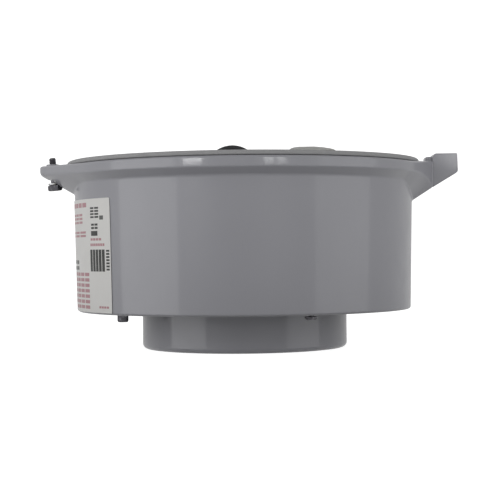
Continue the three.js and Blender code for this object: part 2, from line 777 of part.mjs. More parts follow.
// Coil spring between the contact's flange and the bracket.
function contactSpring() {
  const bottom = CONTACT_SEAT + GAP + 1 + GAP;
  const top = LAMPHOLDER_TOP + GAP - 0.2;
  const coil = { turns: 2.5, radius: 3.4, wire: 0.35 };
  const stepsPerTurn = 8;
  const count = coil.turns * stepsPerTurn;
  const points = Array.from({ length: count + 1 }, (_, i) => {
    const angle = (2 * Math.PI * i) / stepsPerTurn;
    const z = bottom + coil.wire + ((top - bottom - 2 * coil.wire) * i) / count;
    return [coil.radius * Math.cos(angle), coil.radius * Math.sin(angle), z];
  });
  return wire(points, coil.wire, count, 6);
}

function lampholder() {
  const screws = [-1, 1].map((side, index) => {
    const screw = panScrew(1.9, 7.6, 3.9, 2.4).rotateX(Math.PI);
    const place = [side * LAMPHOLDER_SCREW_X, 0, LAMPHOLDER_TOP];
    return mesh(`lampholder_screw_${index + 1}`, screw, plated, place);
  });
  return group(
    mesh("lampholder_bracket", lampholderBracket(), plated),
    mesh("lampholder_body", lampholderBody(), porcelain),
    mesh("lampholder_screw_shell", screwShell(), brass),
    mesh("lampholder_centre_contact", centreContact(), brass),
    mesh("lampholder_contact_spring", contactSpring(), springSteel),
    ...screws,
  );
}

// ---------------------------------------------------------------- core-and-coil ballast

// Laminated core: outer legs, centre leg and yokes round two windows, lying in the YZ plane.
function ballastCore() {
  const { width, height, stack } = CORE;
  const plates = block([-stack / 2, -width / 2, -height / 2], [stack / 2, width / 2, height / 2]);
  const windowHeight = height / 2 - CORE_LEG;
  const windows = [-1, 1].map((side) => {
    const edges = [side * CORE_LEG, side * (width / 2 - CORE_LEG)].sort((a, b) => a - b);
    return block([-stack, edges[0], -windowHeight], [stack, edges[1], windowHeight]);
  });
  const boltHoles = [-CORE_BOLT_Y, CORE_BOLT_Y].map((y) =>
    rod(2.9, -stack, stack, 10)
      .rotateY(Math.PI / 2)
      .translate(0, y, CORE_LEG / 2 - height / 2),
  );
  return cut(plates, ...windows, ...boltHoles);
}

// A winding round the centre leg, between two heights measured from the core's bottom.
function coil(from, to) {
  const innerX = CORE.stack + 2 * COIL_GAP;
  const innerY = 2 * CORE_LEG + 2 * COIL_GAP;
  const windowWidth = (CORE.width - 4 * CORE_LEG) / 2;
  const outerX = CORE.stack + 2 * COIL_BUILD;
  const outerY = 2 * (CORE_LEG + windowWidth - COIL_GAP);
  return roundedBlock(outerX, outerY, from, to, 9, [[innerX, innerY, 1]]);
}

// Foot bracket beside the core: an upright plate with a foot turned outwards.
function coreBracket(side) {
  const { stack, width } = CORE;
  const inner = stack / 2 + GAP;
  const outer = inner + CORE_BRACKET_THICKNESS;
  const halfWidth = width / 2 - 2;
  const upright = block([inner, -halfWidth, SEAT_Z], [outer, halfWidth, CORE.bottom + 9.4]);
  const foot = block(
    [inner, -halfWidth, SEAT_Z],
    [CORE_FOOT_X + 6, halfWidth, SEAT_Z + CORE_BRACKET_THICKNESS],
  );
  const screwHoles = [-CORE_FOOT_Y, CORE_FOOT_Y].map((y) =>
    post(CLEAR_HOLE, SEAT_Z + 4, [CORE_FOOT_X, y], SEAT_Z - 1, HOLE_STEPS),
  );
  const boltHoles = [-CORE_BOLT_Y, CORE_BOLT_Y].map((y) =>
    rod(2.9, inner - 1, outer + 1, 10)
      .rotateY(Math.PI / 2)
      .translate(0, y, CORE.bottom + CORE_LEG / 2),
  );
  const bracket = cut(join(upright, foot), ...screwHoles, ...boltHoles);
  return side < 0 ? bracket.rotateZ(Math.PI) : bracket;
}

function ballast() {
  const { stack, height, bottom } = CORE;
  const middle = height / 2;
  const made = group(
    mesh("ballast_core", ballastCore(), lamination, [0, 0, bottom + middle]),
    mesh("primary_coil", coil(CORE_LEG + COIL_GAP, middle - 3), winding, [0, 0, bottom]),
    mesh("secondary_coil", coil(middle + 3, height - CORE_LEG - COIL_GAP), winding, [0, 0, bottom]),
    mesh("core_bracket_left", coreBracket(-1), plated),
    mesh("core_bracket_right", coreBracket(1), plated),
  );
  const face = stack / 2 + GAP + CORE_BRACKET_THICKNESS + GAP;
  [-CORE_BOLT_Y, CORE_BOLT_Y].forEach((y, index) => {
    const bolt = hexScrew(2.5, 2 * face + 5.5, 4.6, 3.4).rotateY(Math.PI / 2);
    const nut = cut(rod(4.6, 0, 3.6, 6), rod(2.5 + GAP, -1, 5, 12)).rotateY(Math.PI / 2);
    const z = bottom + CORE_LEG / 2;
    made.add(mesh(`core_bolt_${index + 1}`, bolt, darkSteel, [-face, y, z]));
    made.add(mesh(`core_nut_${index + 1}`, nut, darkSteel, [face, y, z]));
  });
  let index = 0;
  for (const side of [-1, 1]) {
    for (const y of [-CORE_FOOT_Y, CORE_FOOT_Y]) {
      index += 1;
      const place = [side * CORE_FOOT_X, y, SEAT_Z + CORE_BRACKET_THICKNESS + GAP];
      made.add(mesh(`core_foot_screw_${index}`, gearScrew(), plated, place));
    }
  }
  made.position.set(CORE.x, CORE.y, 0);
  return made;
}

// ---------------------------------------------------------------- capacitor

function capacitorCan() {
  const { radius, top } = CAPACITOR;
  return turned(
    [
      [0, SEAT_Z],
      [radius - 1.5, SEAT_Z],
      [radius, SEAT_Z + 1.5],
      [radius, top - 1],
      [radius - 1.5, top],
      [radius - 3, top],
      [radius - 4, top - 2],
      [0, top - 2],
    ],
    28,
  );
}

// Soft boot over the capacitor's terminals, with an opening in its side for the two leads.
function capacitorCap() {
  const { radius, skirt, shoulder, top, wall } = CAPACITOR_CAP;
  const inner = CAPACITOR.radius + GAP;
  const dome = { rise: top - shoulder, steps: 4 };
  const outside = [];
  const inside = [];
  for (let i = 0; i <= dome.steps; i++) {
    const angle = (Math.PI / 2) * (i / dome.steps);
    outside.push([radius * Math.cos(angle), shoulder + dome.rise * Math.sin(angle)]);
    const innerRadius = (radius - wall - 1) * Math.cos(angle);
    inside.unshift([innerRadius, shoulder - wall + (dome.rise - wall) * Math.sin(angle)]);
  }
  outside[dome.steps][0] = 0;
  inside[0][0] = 0;
  const body = turned(
    [...inside, [inner, CAPACITOR.top + GAP], [inner, skirt], [radius, skirt], ...outside],
    28,
  );
  const exit = block([-7, radius - 6, 114], [7, radius + 2, 122]);
  return cut(body, exit);
}

function capacitorTerminal() {
  const top = CAPACITOR.top - 2 + GAP;
  return block([-3.2, -0.5, top], [3.2, 0.5, top + 10]);
}

// Strap clamp with a leg and foot screwed to the floor.
function capacitorClamp() {
  const inner = CAPACITOR.radius + GAP;
  const { from, to, thickness, halfWidth } = CLAMP;
  const outer = inner + thickness;
  const profile = [
    [inner, from],
    [outer, from],
    [outer, to],
    [inner, to],
  ];
  const band = ring(profile, 28);
  const legX = -outer - 0.8;
  const leg = block([legX, -halfWidth, SEAT_Z], [legX + thickness, halfWidth, to]);
  const footX = CAPACITOR_FOOT_X - CAPACITOR.x;
  const footEnd = [legX + 1, halfWidth, SEAT_Z + thickness];
  const foot = block([footX - PAD_RADIUS, -halfWidth, SEAT_Z], footEnd);
  const hole = post(CLEAR_HOLE, SEAT_Z + 3, [footX, 0], SEAT_Z - 1, HOLE_STEPS);
  const clear = rod(inner, SEAT_Z - 1, to + 1, 28);
  return cut(join(band, leg, foot), hole, clear);
}

function capacitor() {
  const screwPlace = [CAPACITOR_FOOT_X - CAPACITOR.x, 0, SEAT_Z + CLAMP.thickness + GAP];
  const made = group(
    mesh("capacitor_can", capacitorCan(), aluminium),
    mesh("capacitor_cap", capacitorCap(), blackRubber),
    mesh("capacitor_terminal_1", capacitorTerminal(), brass, [-6, 0, 0]),
    mesh("capacitor_terminal_2", capacitorTerminal(), brass, [6, 0, 0]),
    mesh("capacitor_clamp", capacitorClamp(), plated),
    mesh("capacitor_clamp_screw", gearScrew(), plated, screwPlace),
  );
  made.position.set(CAPACITOR.x, CAPACITOR.y, 0);
  return made;
}

// ---------------------------------------------------------------- ignitor, terminals and ground

function ignitor() {
  const plateTop = SEAT_Z + 2;
  const plate = cut(
    roundedBlock(2 * IGNITOR_FOOT_X + 14, 24, SEAT_Z, plateTop, 4),
    ...[-IGNITOR_FOOT_X, IGNITOR_FOOT_X].map((x) =>
      post(CLEAR_HOLE, SEAT_Z + 4, [x, 0], SEAT_Z - 1, HOLE_STEPS),
    ),
  );
  const bottom = plateTop + GAP;
  const { width, depth, height } = IGNITOR;
  const made = group(
    mesh("ignitor_bracket", plate, plated),
    mesh("ignitor_case", roundedBlock(width, depth, bottom, bottom + height, 4), potting),
  );
  [-1, 1].forEach((side, index) => {
    const place = [side * IGNITOR_FOOT_X, 0, plateTop + GAP];
    made.add(mesh(`ignitor_screw_${index + 1}`, gearScrew(), plated, place));
  });
  made.position.set(IGNITOR.x, IGNITOR.y, 0);
  return made;
}

// Barrier strip: a base with raised walls between its terminals.
function terminalBlock() {
  const { width, depth, height, screws, pitch } = TERMINAL;
  const base = block([-width / 2, -depth / 2, SEAT_Z], [width / 2, depth / 2, SEAT_Z + 4]);
  const reach = (screws * pitch) / 2 - 4;
  const body = block([-reach, -depth / 2 + 2, SEAT_Z], [reach, depth / 2 - 2, SEAT_Z + height - 5]);
  const walls = Array.from({ length: screws + 1 }, (_, i) => {
    const x = (i - screws / 2) * (pitch - 2);
    return block([x - 0.9, -depth / 2, SEAT_Z], [x + 0.9, depth / 2, SEAT_Z + height]);
  });
  const screwHoles = terminalScrewPlaces().map((x) =>
    post(TAPPED_HOLE, SEAT_Z + height, [x, 0], SEAT_Z + 3, HOLE_STEPS),
  );
  const footHoles = [-TERMINAL_FOOT_X, TERMINAL_FOOT_X].map((x) =>
    post(CLEAR_HOLE, SEAT_Z + 5, [x, 0], SEAT_Z - 1, HOLE_STEPS),
  );
  return cut(join(base, body, ...walls), ...screwHoles, ...footHoles);
}

function terminalScrewPlaces() {
  const { screws, pitch } = TERMINAL;
  return Array.from({ length: screws }, (_, i) => (i - (screws - 1) / 2) * (pitch - 2));
}

function terminals() {
  const { height } = TERMINAL;
  const made = group(mesh("terminal_block", terminalBlock(), phenolic));
  terminalScrewPlaces().forEach((x, index) => {
    const place = [x, 0, SEAT_Z + height - 5 + GAP];
    made.add(mesh(`terminal_screw_${index + 1}`, panScrew(1.7, 5, 3.4, 2.2), brass, place));
  });
  [-1, 1].forEach((side, index) => {
    const place = [side * TERMINAL_FOOT_X, 0, SEAT_Z + 4 + GAP];
    made.add(mesh(`terminal_foot_screw_${index + 1}`, panScrew(1.8, 9, 3.6, 2.2), plated, place));
  });
  made.position.set(TERMINAL.x, TERMINAL.y, 0);
  return made;
}

function ground() {
  const tag = cut(
    join(rod(5.2, 0, 1, SMALL_STEPS), block([-12, -2, 0], [-3, 2, 1])),
    rod(2.2, -1, 2, 10),
  );
  const screw = hexScrew(1.8, 5.5, 4.4, 3, 4.9).rotateX(Math.PI);
  const made = group(
    mesh("ground_tag", tag, brass, [0, 0, GROUND.height + GAP]),
    mesh("ground_screw", screw, green, [0, 0, GROUND.height + 1 + 2 * GAP]),
  );
  made.position.set(GROUND.x, GROUND.y, 0);
  return made;
}

// ---------------------------------------------------------------- leads

// Every lead stays clear of the floor and ends face to face with what it is joined to.
function leads() {
  const coilFace = CORE.y + CORE_LEG + (CORE.width - 4 * CORE_LEG) / 2 - COIL_GAP + GAP;
  const coilX = CORE.x - CORE.stack / 2 - 2.6;
  const blockFace = TERMINAL.y - TERMINAL.depth / 2 + 2 - GAP;
  const blockX = terminalScrewPlaces().map((x) => TERMINAL.x + x);
  const blockZ = SEAT_Z + 5.9;
  const ignitorFace = IGNITOR.x + IGNITOR.width / 2 + GAP;
  const lampholderFace = SHELL_CHAMBER + 0.1; // where the body's lead holes end
  const bushing = 2.2;
  const routes = {
    line_lead: [
      [blockX[3], blockFace, blockZ],
      [blockX[3], 57, 10.5],
      [28, 48, 18],
      [33, 30, 30],
      [37, 5, 44],
      [36, -15, 53],
      [coilX, coilFace + 6, 55],
      [coilX, coilFace, 55],
    ],
    ignitor_lead: [
      [ignitorFace, 22, 46],
      [-44, 22, 46],
      [-34, 17, 47],
      [-12, 6, 58],
      [14, -6, 78],
      [28, -18, 90],
      [coilX, coilFace + 6, 92],
      [coilX, coilFace, 92],
    ],
    capacitor_lead_1: [
      [CAPACITOR.x - 3.6, CAPACITOR.y + 17, 118],
      [CAPACITOR.x - 3.6, CAPACITOR.y + 25, 118],
      [-8, -21, 117],
      [8, -16, 115],
      [26, -17, 112.5],
      [coilX, coilFace + 7, 112],
      [coilX, coilFace, 112],
    ],
    capacitor_lead_2: [
      [CAPACITOR.x + 3.6, CAPACITOR.y + 17, 118],
      [CAPACITOR.x + 3.6, CAPACITOR.y + 24, 118],
      [-1, -24, 116],
      [10, -21.5, 112],
      [24, -21.5, 107],
      [coilX, coilFace + 6, 104],
      [coilX, coilFace, 104],
    ],
    lamp_lead: [
      [ignitorFace, 34, 16],
      [-42, 34, 16],
      [-24, 37, 19],
      [-9, 38.5, 19],
      [-bushing, 38, 12],
      [-bushing, 38, 4],
      [-bushing, 38, -4],
      [-3, 35.5, -9.5],
      [-4.4, 30, -11],
      [-5, 22, -11],
      [-5, lampholderFace, -11],
    ],
    shell_lead: [
      [blockX[1], blockFace, blockZ],
      [blockX[1], 57, 11],
      [3.6, 48, 17.5],
      [bushing, 40, 17],
      [bushing, 38, 10],
      [bushing, 38, 4],
      [bushing, 38, -4],
      [3, 35.5, -9.5],
      [4.4, 30, -11],
      [5, 22, -11],
      [5, lampholderFace, -11],
    ],
    ground_lead: [
      [GROUND.x - 12.3, GROUND.y, 6.6],
      [76, 41, 7.4],
      [58, 45, 8.4],
      [36, 49, 9],
      [21, 52, 9.2],
      [blockX[2], 57, blockZ],
      [blockX[2], blockFace, blockZ],
    ],
  };
  return group(
    ...Object.entries(routes).map(([name, points]) => mesh(name, wire(points), leadColors[name])),
  );
}

// ---------------------------------------------------------------- the whole part

const part = group(
  mesh("ballast_housing", ballastHousing(), paint),
  mesh("hood_gasket", hoodGasket(), rubber),
  mesh("data_label", dataLabel(), paper),
  hingePin(),
  closureBolt(),
  ...guardScrews(),
  globeSetScrew(),
  mesh("globe_gasket", globeGasket(), rubber),
  mesh("lead_bushing", leadBushing(), blackRubber, [0, LEAD_HOLE.y, 0]),
  lampholder(),
  ballast(),
  capacitor(),
  ignitor(),
  terminals(),
  ground(),
  leads(),
);

export default part;
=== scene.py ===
import cmath
from math import acos, atan2, copysign, cos, hypot, pi, radians, sin, sqrt, tan

import bmesh
import bpy
import numpy as np
from mathutils import Matrix, Vector


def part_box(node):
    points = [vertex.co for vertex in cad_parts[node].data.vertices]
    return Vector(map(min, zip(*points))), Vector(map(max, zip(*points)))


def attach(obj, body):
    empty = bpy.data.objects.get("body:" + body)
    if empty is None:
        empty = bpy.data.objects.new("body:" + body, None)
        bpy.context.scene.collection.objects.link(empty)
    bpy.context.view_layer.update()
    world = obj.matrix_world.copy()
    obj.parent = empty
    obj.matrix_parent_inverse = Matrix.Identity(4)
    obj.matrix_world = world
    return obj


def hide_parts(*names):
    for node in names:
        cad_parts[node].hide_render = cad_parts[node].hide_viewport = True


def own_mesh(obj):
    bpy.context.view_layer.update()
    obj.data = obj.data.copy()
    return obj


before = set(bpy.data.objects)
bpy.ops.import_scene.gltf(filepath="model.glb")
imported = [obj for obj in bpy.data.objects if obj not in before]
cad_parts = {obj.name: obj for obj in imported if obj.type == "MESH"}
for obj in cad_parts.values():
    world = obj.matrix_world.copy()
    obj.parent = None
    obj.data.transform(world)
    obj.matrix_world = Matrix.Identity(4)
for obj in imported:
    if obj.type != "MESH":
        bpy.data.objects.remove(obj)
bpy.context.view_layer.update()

MM = 0.001
TURN = 2 * pi
HOUSING, BOLT, CARRIER, CONTACT = "housing", "closure_bolt", "closure_carrier", "centre_contact"


def low(node):
    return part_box(node)[0] / MM


def high(node):
    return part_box(node)[1] / MM


def middle(node):
    return (low(node) + high(node)) / 2


def extent(node):
    return low(node), high(node), middle(node)


# ---- driving sizes, in millimetres

RIM_Z = low("ballast_housing").z
NECK_RADIUS = 90.5
RIM_ROUND = 4.5
NECK_FILLET = 3
NECK_BORE = 82.5
THREAD = {"depth": 1.8, "pitch": 6.35, "from": 3, "to": 22}

UNDERSIDE_Z = -5
FOOT_RADIUS = 147
HEAD_RADIUS = 149.4
WALL_THICKNESS = 4.2
FOOT_ROUND = 2.2
FLOOR_FILLET = 5

FLANGE_RADIUS = high("ballast_housing").y
FLANGE_UNDER_Z = 113
FLANGE_TOP_Z = 121.7
FLANGE_ROOT_Z = 106.8
FLANGE_FILLET = 3.5
GROOVE = {"inner": 148.3, "outer": 152.7, "bottom": 118.8}
GASKET_OUTER = high("hood_gasket").y

BOLT_LEAN = radians(4.9)
BOLT_AT = (-168.8, 0, 117.5)
CLOSURE = {"middle": 169.8, "round": 11, "top": 123.5, "under": 115.7, "root": 97.6}
HINGE = {"near": 167.2, "end": high("ballast_housing").x - 1.4, "half": 13, "web_top": 124.1,
         "under": 101.3, "root": 89.5, "end_under": 114.6, "tangent": radians(24.5)}
GUSSET = {"start": radians(26), "end": radians(6)}
HINGE_TOP_Z = high("ballast_housing").z - 0.7
HINGE_PIN = middle("hinge_pin")


# ---- profiles

def rounded(corners, steps=5):
    """Points r + iz along (r, z, radius) corners, each corner rounded to its radius."""
    flat = [complex(r, z) for r, z, _ in corners]
    points = []
    for i, here in enumerate(flat):
        radius = corners[i][2]
        if not radius:
            points.append(here)
            continue
        back = flat[i - 1] - here
        ahead = flat[(i + 1) % len(flat)] - here
        back /= abs(back)
        ahead /= abs(ahead)
        half = abs(cmath.phase(ahead / back)) / 2
        centre = here + (back + ahead) / abs(back + ahead) * radius / sin(half)
        start = here + back * radius / tan(half) - centre
        end = here + ahead * radius / tan(half) - centre
        sweep = cmath.phase(end / start)
        points += [centre + start * cmath.exp(1j * sweep * k / steps) for k in range(steps + 1)]
    return points


def mirrored_angles(quarter):
    """Angles for a whole turn from those of its first quarter, alike about both axes."""
    first = np.asarray(quarter)
    second = pi - first[::-1]
    half = np.unique(np.round(np.concatenate([first, second]), 7))
    return np.unique(np.round(np.concatenate([half, half + pi]) % TURN, 6))


# ---- meshes

def around(angle, radius, z):
    """The point at an angle round the Z axis."""
    return radius * cos(angle), radius * sin(angle), z


def new_object(name, mesh):
    made = bpy.data.objects.new(name, mesh)
    bpy.context.scene.collection.objects.link(made)
    return made


def from_bmesh(name, bm):
    bmesh.ops.recalc_face_normals(bm, faces=bm.faces)
    mesh = bpy.data.meshes.new(name)
    bm.to_mesh(mesh)
    bm.free()
    return new_object(name, mesh)


def solid(name, points, faces):
    """A closed mesh over points in millimetres. Points in one place become one."""
    mesh = bpy.data.meshes.new(name)
    mesh.from_pydata((points * MM).tolist(), [], faces)
    bm = bmesh.new()
    bm.from_mesh(mesh)
    bpy.data.meshes.remove(mesh)
    bmesh.ops.remove_doubles(bm, verts=bm.verts, dist=2e-6)
    return from_bmesh(name, bm)


def skin(name, grid, ring=False):
    """A closed surface over columns of points that go once round. Its rows end on the axis, or join
    into a ring."""
    grid = np.asarray(grid, float)
    columns, rows = grid.shape[:2]
    index = np.arange(columns * rows).reshape(columns, rows)
    beside = np.roll(index, -1, axis=0)
    above, diagonal = np.roll(index, -1, axis=1), np.roll(beside, -1, axis=1)
    quads = np.stack([index, beside, diagonal, above], -1)
    quads = quads if ring else quads[:, :-1]
    return solid(name, grid.reshape(-1, 3), quads.reshape(-1, 4).tolist())


def turned(name, profile, steps=64, ring=False, radius_at=None):
    """A solid turned about Z. radius_at(angle, r, z) may change a point's radius."""
    wanted = radius_at or (lambda angle, r, z: r)
    columns = [[around(angle, wanted(angle, p.real, p.imag), p.imag) for p in profile]
               for angle in np.arange(steps) * TURN / steps]
    return skin(name, columns, ring)


def rod(name, radius, bottom, top, steps=48, edge=0.0, top_edge=None):
    """A straight bar along Z, whose ends' edges are rounded."""
    upper = edge if top_edge is None else top_edge
    profile = rounded([(0, bottom, 0), (radius, bottom, edge), (radius, top, upper), (0, top, 0)])
    return turned(name, profile, steps)


def collar_ring(radii, heights, edges, steps, arc=5):
    """A flat ring with its inner and outer edges rounded."""
    (inner, outer), (bottom, top) = radii, heights
    profile = rounded([(inner, bottom, edges[0]), (outer, bottom, edges[1]),
                       (outer, top, edges[1]), (inner, top, edges[0])], arc)
    return turned("ring", profile, steps, True)


def prism(name, outline, bottom, top, edge=0.0, segments=3):
    """An outline of (x, y) points drawn up from bottom to top, with all its edges rounded."""
    bm = bmesh.new()
    base = bm.faces.new([bm.verts.new((x * MM, y * MM, bottom * MM)) for x, y in outline])
    risen = bmesh.ops.extrude_face_region(bm, geom=[base])["geom"]
    tops = [v for v in risen if isinstance(v, bmesh.types.BMVert)]
    bmesh.ops.translate(bm, verts=tops, vec=(0, 0, (top - bottom) * MM))
    if edge:
        sharp = [e for e in bm.edges if e.calc_face_angle(0) > 0.6]
        bmesh.ops.bevel(bm, geom=sharp, offset=edge * MM, segments=segments, affect="EDGES",
                        profile=0.5, clamp_overlap=True)
    return from_bmesh(name, bm)


def sideways(name, outline, nearest, farthest, edge, segments=3):
    """An outline of (x, z) points drawn from one Y to another."""
    return moved(prism(name, outline, -farthest, -nearest, edge, segments), turn=about("X", 90))


def box(name, lowest, highest, edge=0.4):
    (x0, y0, z0), (x1, y1, z1) = lowest, highest
    return prism(name, [(x0, y0), (x1, y0), (x1, y1), (x0, y1)], z0, z1, edge, 2)


def rounded_outline(width, depth, radius, steps=8):
    points = []
    for quarter in range(4):
        x = (width / 2 - radius) * (1 if quarter in (0, 3) else -1)
        y = (depth / 2 - radius) * (1 if quarter in (0, 1) else -1)
        for k in range(steps + 1):
            angle = (quarter + k / steps) * TURN / 4
            points.append((x + radius * cos(angle), y + radius * sin(angle)))
    return points


def moved(obj, place=(0, 0, 0), turn=None):
    """Puts an object's own mesh at a place in millimetres, after a turn."""
    matrix = Matrix.Translation(Vector(place) * MM)
    obj.data.transform(matrix @ turn.to_4x4() if turn else matrix)
    return obj


def over(obj, node, z=0.0, turn=None):
    """Puts a mesh from the Z axis on a node's middle in X and Y."""
    place = middle(node)
    return moved(obj, (place.x, place.y, z), turn)


def about(axis, degrees):
    return Matrix.Rotation(radians(degrees), 3, axis)


def combined(target, tools, operation):
    """The target with every tool joined to it or cut from it."""
    for tool in tools:
        change = target.modifiers.new(operation, "BOOLEAN")
        change.operation = operation
        change.solver = "MANIFOLD"
        change.object = tool
    baked(target)
    for tool in tools:
        bpy.data.meshes.remove(tool.data)
    return target


def baked(obj):
    """Applies an object's modifiers to its mesh."""
    graph = bpy.context.evaluated_depsgraph_get()
    mesh = bpy.data.meshes.new_from_object(obj.evaluated_get(graph))
    obj.modifiers.clear()
    obj.data = mesh
    return obj


def joined(target, *tools):
    return combined(target, tools, "UNION")


def cut(target, *tools):
    return combined(target, tools, "DIFFERENCE")


def finished(obj, node, slot, body=HOUSING, sharp=38, look=None):
    """Smooths a piece's shading, gives it its slot's look and puts it in a CAD node's place."""
    obj.data.materials.clear()
    obj.data.materials.append(look or LOOKS[slot])
    obj.data.shade_smooth()
    obj.data.set_sharp_from_angle(angle=radians(sharp))
    normals = obj.modifiers.new("face_weighted_normals", "WEIGHTED_NORMAL")
    normals.keep_sharp = True
    baked(obj)
    obj.name = "fine_" + node
    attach(obj, body)
    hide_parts(node)
    return obj


# ---- materials

class Nodes:
    """A node tree in the making, with short names for the nodes that are used again and again."""

    def __init__(self, owner):
        owner.use_nodes = True
        self.tree = owner.node_tree

    def node(self, kind, inputs=None, **settings):
        made = self.tree.nodes.new(kind)
        for key, value in settings.items():
            setattr(made, key, value)
        for key, value in (inputs or {}).items():
            self.feed(made.inputs[key], value)
        return made

    def feed(self, socket, value):
        if isinstance(value, bpy.types.NodeSocket):
            self.tree.links.new(value, socket)
        else:
            socket.default_value = value

    def maths(self, operation, first, second=0.0):
        return self.node("ShaderNodeMath", {0: first, 1: second}, operation=operation).outputs[0]

    def within(self, value, first, last):
        """1 where a value lies from first to last, otherwise 0."""
        compared = self.maths("COMPARE", value, (first + last) / 2)
        compared.node.inputs[2].default_value = (last - first) / 2
        return compared

    def between(self, value, start, end, first, last, **settings):
        inputs = {"Value": value, "From Min": start, "From Max": end, "To Min": first, "To Max": last}
        return self.node("ShaderNodeMapRange", inputs, **settings).outputs[0]


class Look(Nodes):
    """A node material in the making."""

    def __init__(self, name, metallic=0.0, specular=0.5, coat=0.0, coat_roughness=0.1):
        self.material = bpy.data.materials.new(name)
        super().__init__(self.material)
        self.shader = self.tree.nodes["Principled BSDF"]
        self.shader.inputs["Metallic"].default_value = metallic
        self.shader.inputs["Specular IOR Level"].default_value = specular
        self.shader.inputs["Coat Weight"].default_value = coat
        self.shader.inputs["Coat Roughness"].default_value = coat_roughness
        self.place = self.node("ShaderNodeTexCoord").outputs["Object"]

    def stretched(self, x, y, z):
        inputs = {0: self.place, 1: (x, y, z)}
        return self.node("ShaderNodeVectorMath", inputs, operation="MULTIPLY").outputs[0]

    def noise(self, scale, detail=3.0, place=None):
        """Noise from 0 to 1, with features about 1 / scale metres across."""
        inputs = {"Vector": place or self.place, "Scale": scale, "Detail": detail}
        return self.node("ShaderNodeTexNoise", inputs).outputs["Fac"]

    def spots(self, scale):
        inputs = {"Vector": self.place, "Scale": scale}
        return self.node("ShaderNodeTexVoronoi", inputs).outputs["Distance"]

    def grain(self, scale, first, last, start=0.3, end=0.7, detail=3.0):
        """A value that wanders from first to last with noise."""
        return self.between(self.noise(scale, detail), start, end, first, last)

    def mix(self, share, first, second):
        """Two colours mixed, each a socket, a tuple or six hexadecimal digits."""
        made = self.node("ShaderNodeMix", data_type="RGBA")
        self.feed(made.inputs[0], share)
        for socket, color in ((made.inputs[6], first), (made.inputs[7], second)):
            color = linear(color) if isinstance(color, str) else color
            self.feed(socket, (*color, 1.0) if isinstance(color, tuple) else color)
        return made.outputs[2]

    def pitted(self, scale, depth, detail=3.0, below=None):
        return self.bump(self.noise(scale, detail), depth, below)

    def bump(self, height, depth, below=None):
        """A bump of so many millimetres."""
        made = self.node("ShaderNodeBump", {"Height": height, "Distance": depth * MM})
        if below is not None:
            self.feed(made.inputs["Normal"], below)
        return made.outputs[0]

    def finish(self, color, roughness, normal=None):
        self.feed(self.shader.inputs["Base Color"], color)
        self.feed(self.shader.inputs["Roughness"], roughness)
        if normal is not None:
            self.feed(self.shader.inputs["Normal"], normal)
        return self.material


def linear(code):
    """A colour written as six hexadecimal digits, as linear light."""
    shares = [int(code[i:i + 2], 16) / 255 for i in (0, 2, 4)]
    return tuple(s / 12.92 if s <= 0.04045 else ((s + 0.055) / 1.055) ** 2.4 for s in shares)


def cast_paint():
    """Grey enamel on a die casting: faint mottle, orange peel and the casting's slow waves."""
    look = Look("cast_paint", specular=0.3, coat=0.6)
    mottle = look.mix(look.grain(9, 0, 1, detail=2), "929298", "96969c")
    color = look.mix(look.grain(900, 0, 0.25, 0.55, 0.8, 2), mottle, "8b8b91")
    peel = look.pitted(650, 0.012, 2)
    return look.finish(color, look.grain(60, 0.34, 0.44), look.pitted(28, 0.08, 2, peel))


def rubber(name, light, dark):
    look = Look(name, specular=0.35)
    color = look.mix(look.noise(120, 4), light, dark)
    return look.finish(color, look.grain(300, 0.55, 0.75), look.pitted(1500, 0.03))


def plated_steel(name, base, stain, metallic=1.0):
    """Zinc plating: pale spangle with a faint warm tarnish."""
    look = Look(name, metallic=metallic)
    color = look.mix(look.grain(160, 0, 1, 0.4, 0.65, 4), base, stain)
    return look.finish(color, look.between(look.spots(900), 0.1, 0.7, 0.28, 0.42),
                       look.pitted(1200, 0.01, 2))


def black_steel():
    """Dark oxide on a screw, rubbed a little brighter in places."""
    look = Look("black_oxide_steel", metallic=0.85)
    rubbed = look.grain(420, 0, 1, 0.52, 0.75, 4)
    color = look.mix(rubbed, "5c5b5f", "8d8c90")
    return look.finish(color, look.between(rubbed, 0, 1, 0.5, 0.32), look.pitted(1400, 0.02))


def glazed_porcelain():
    look = Look("glazed_porcelain", specular=0.6, coat=0.6, coat_roughness=0.06)
    color = look.mix(look.between(look.spots(500), 0.0, 0.12, 0.35, 0), "e8e4d8", "b9ad94")
    return look.finish(color, look.grain(90, 0.16, 0.26), look.pitted(140, 0.05, 2))


def drawn_metal(name, base, dark, stretch, roughness):
    """Metal with fine lines along one direction."""
    look = Look(name, metallic=1.0)
    lines = look.noise(1, 3, look.stretched(*stretch))
    color = look.mix(look.between(lines, 0.3, 0.7, 0, 1), base, dark)
    tarnish = look.mix(look.grain(130, 0, 0.5, 0.5, 0.8, 4), color, dark)
    return look.finish(tarnish, look.between(lines, 0.3, 0.7, *roughness), look.bump(lines, 0.012))


def laminations():
    """Edges of varnished steel sheets, stacked along X, with dried varnish runs."""
    look = Look("lamination_edges", metallic=0.55, specular=0.4)
    wave = {"Vector": look.place, "Scale": 320.0, "Distortion": 0.6, "Detail": 1.0}
    sheets = look.node("ShaderNodeTexWave", wave, bands_direction="X").outputs["Fac"]
    varnish = look.grain(60, 0, 1, 0.42, 0.62, 4)
    steel = look.mix(sheets, "6f6d66", "a9a79e")
    color = look.mix(look.maths("MULTIPLY", varnish, 0.55), steel, "6d5a3a")
    return look.finish(color, look.between(varnish, 0, 1, 0.5, 0.28), look.bump(sheets, 0.05))


def enamelled_copper():
    look = Look("varnished_winding", metallic=0.35, coat=0.8, coat_roughness=0.18)
    drip = look.grain(70, 0, 1, 0.4, 0.65, 4)
    color = look.mix(drip, "8a4f22", "5d3214")
    return look.finish(color, look.between(drip, 0, 1, 0.3, 0.45), look.pitted(400, 0.03))


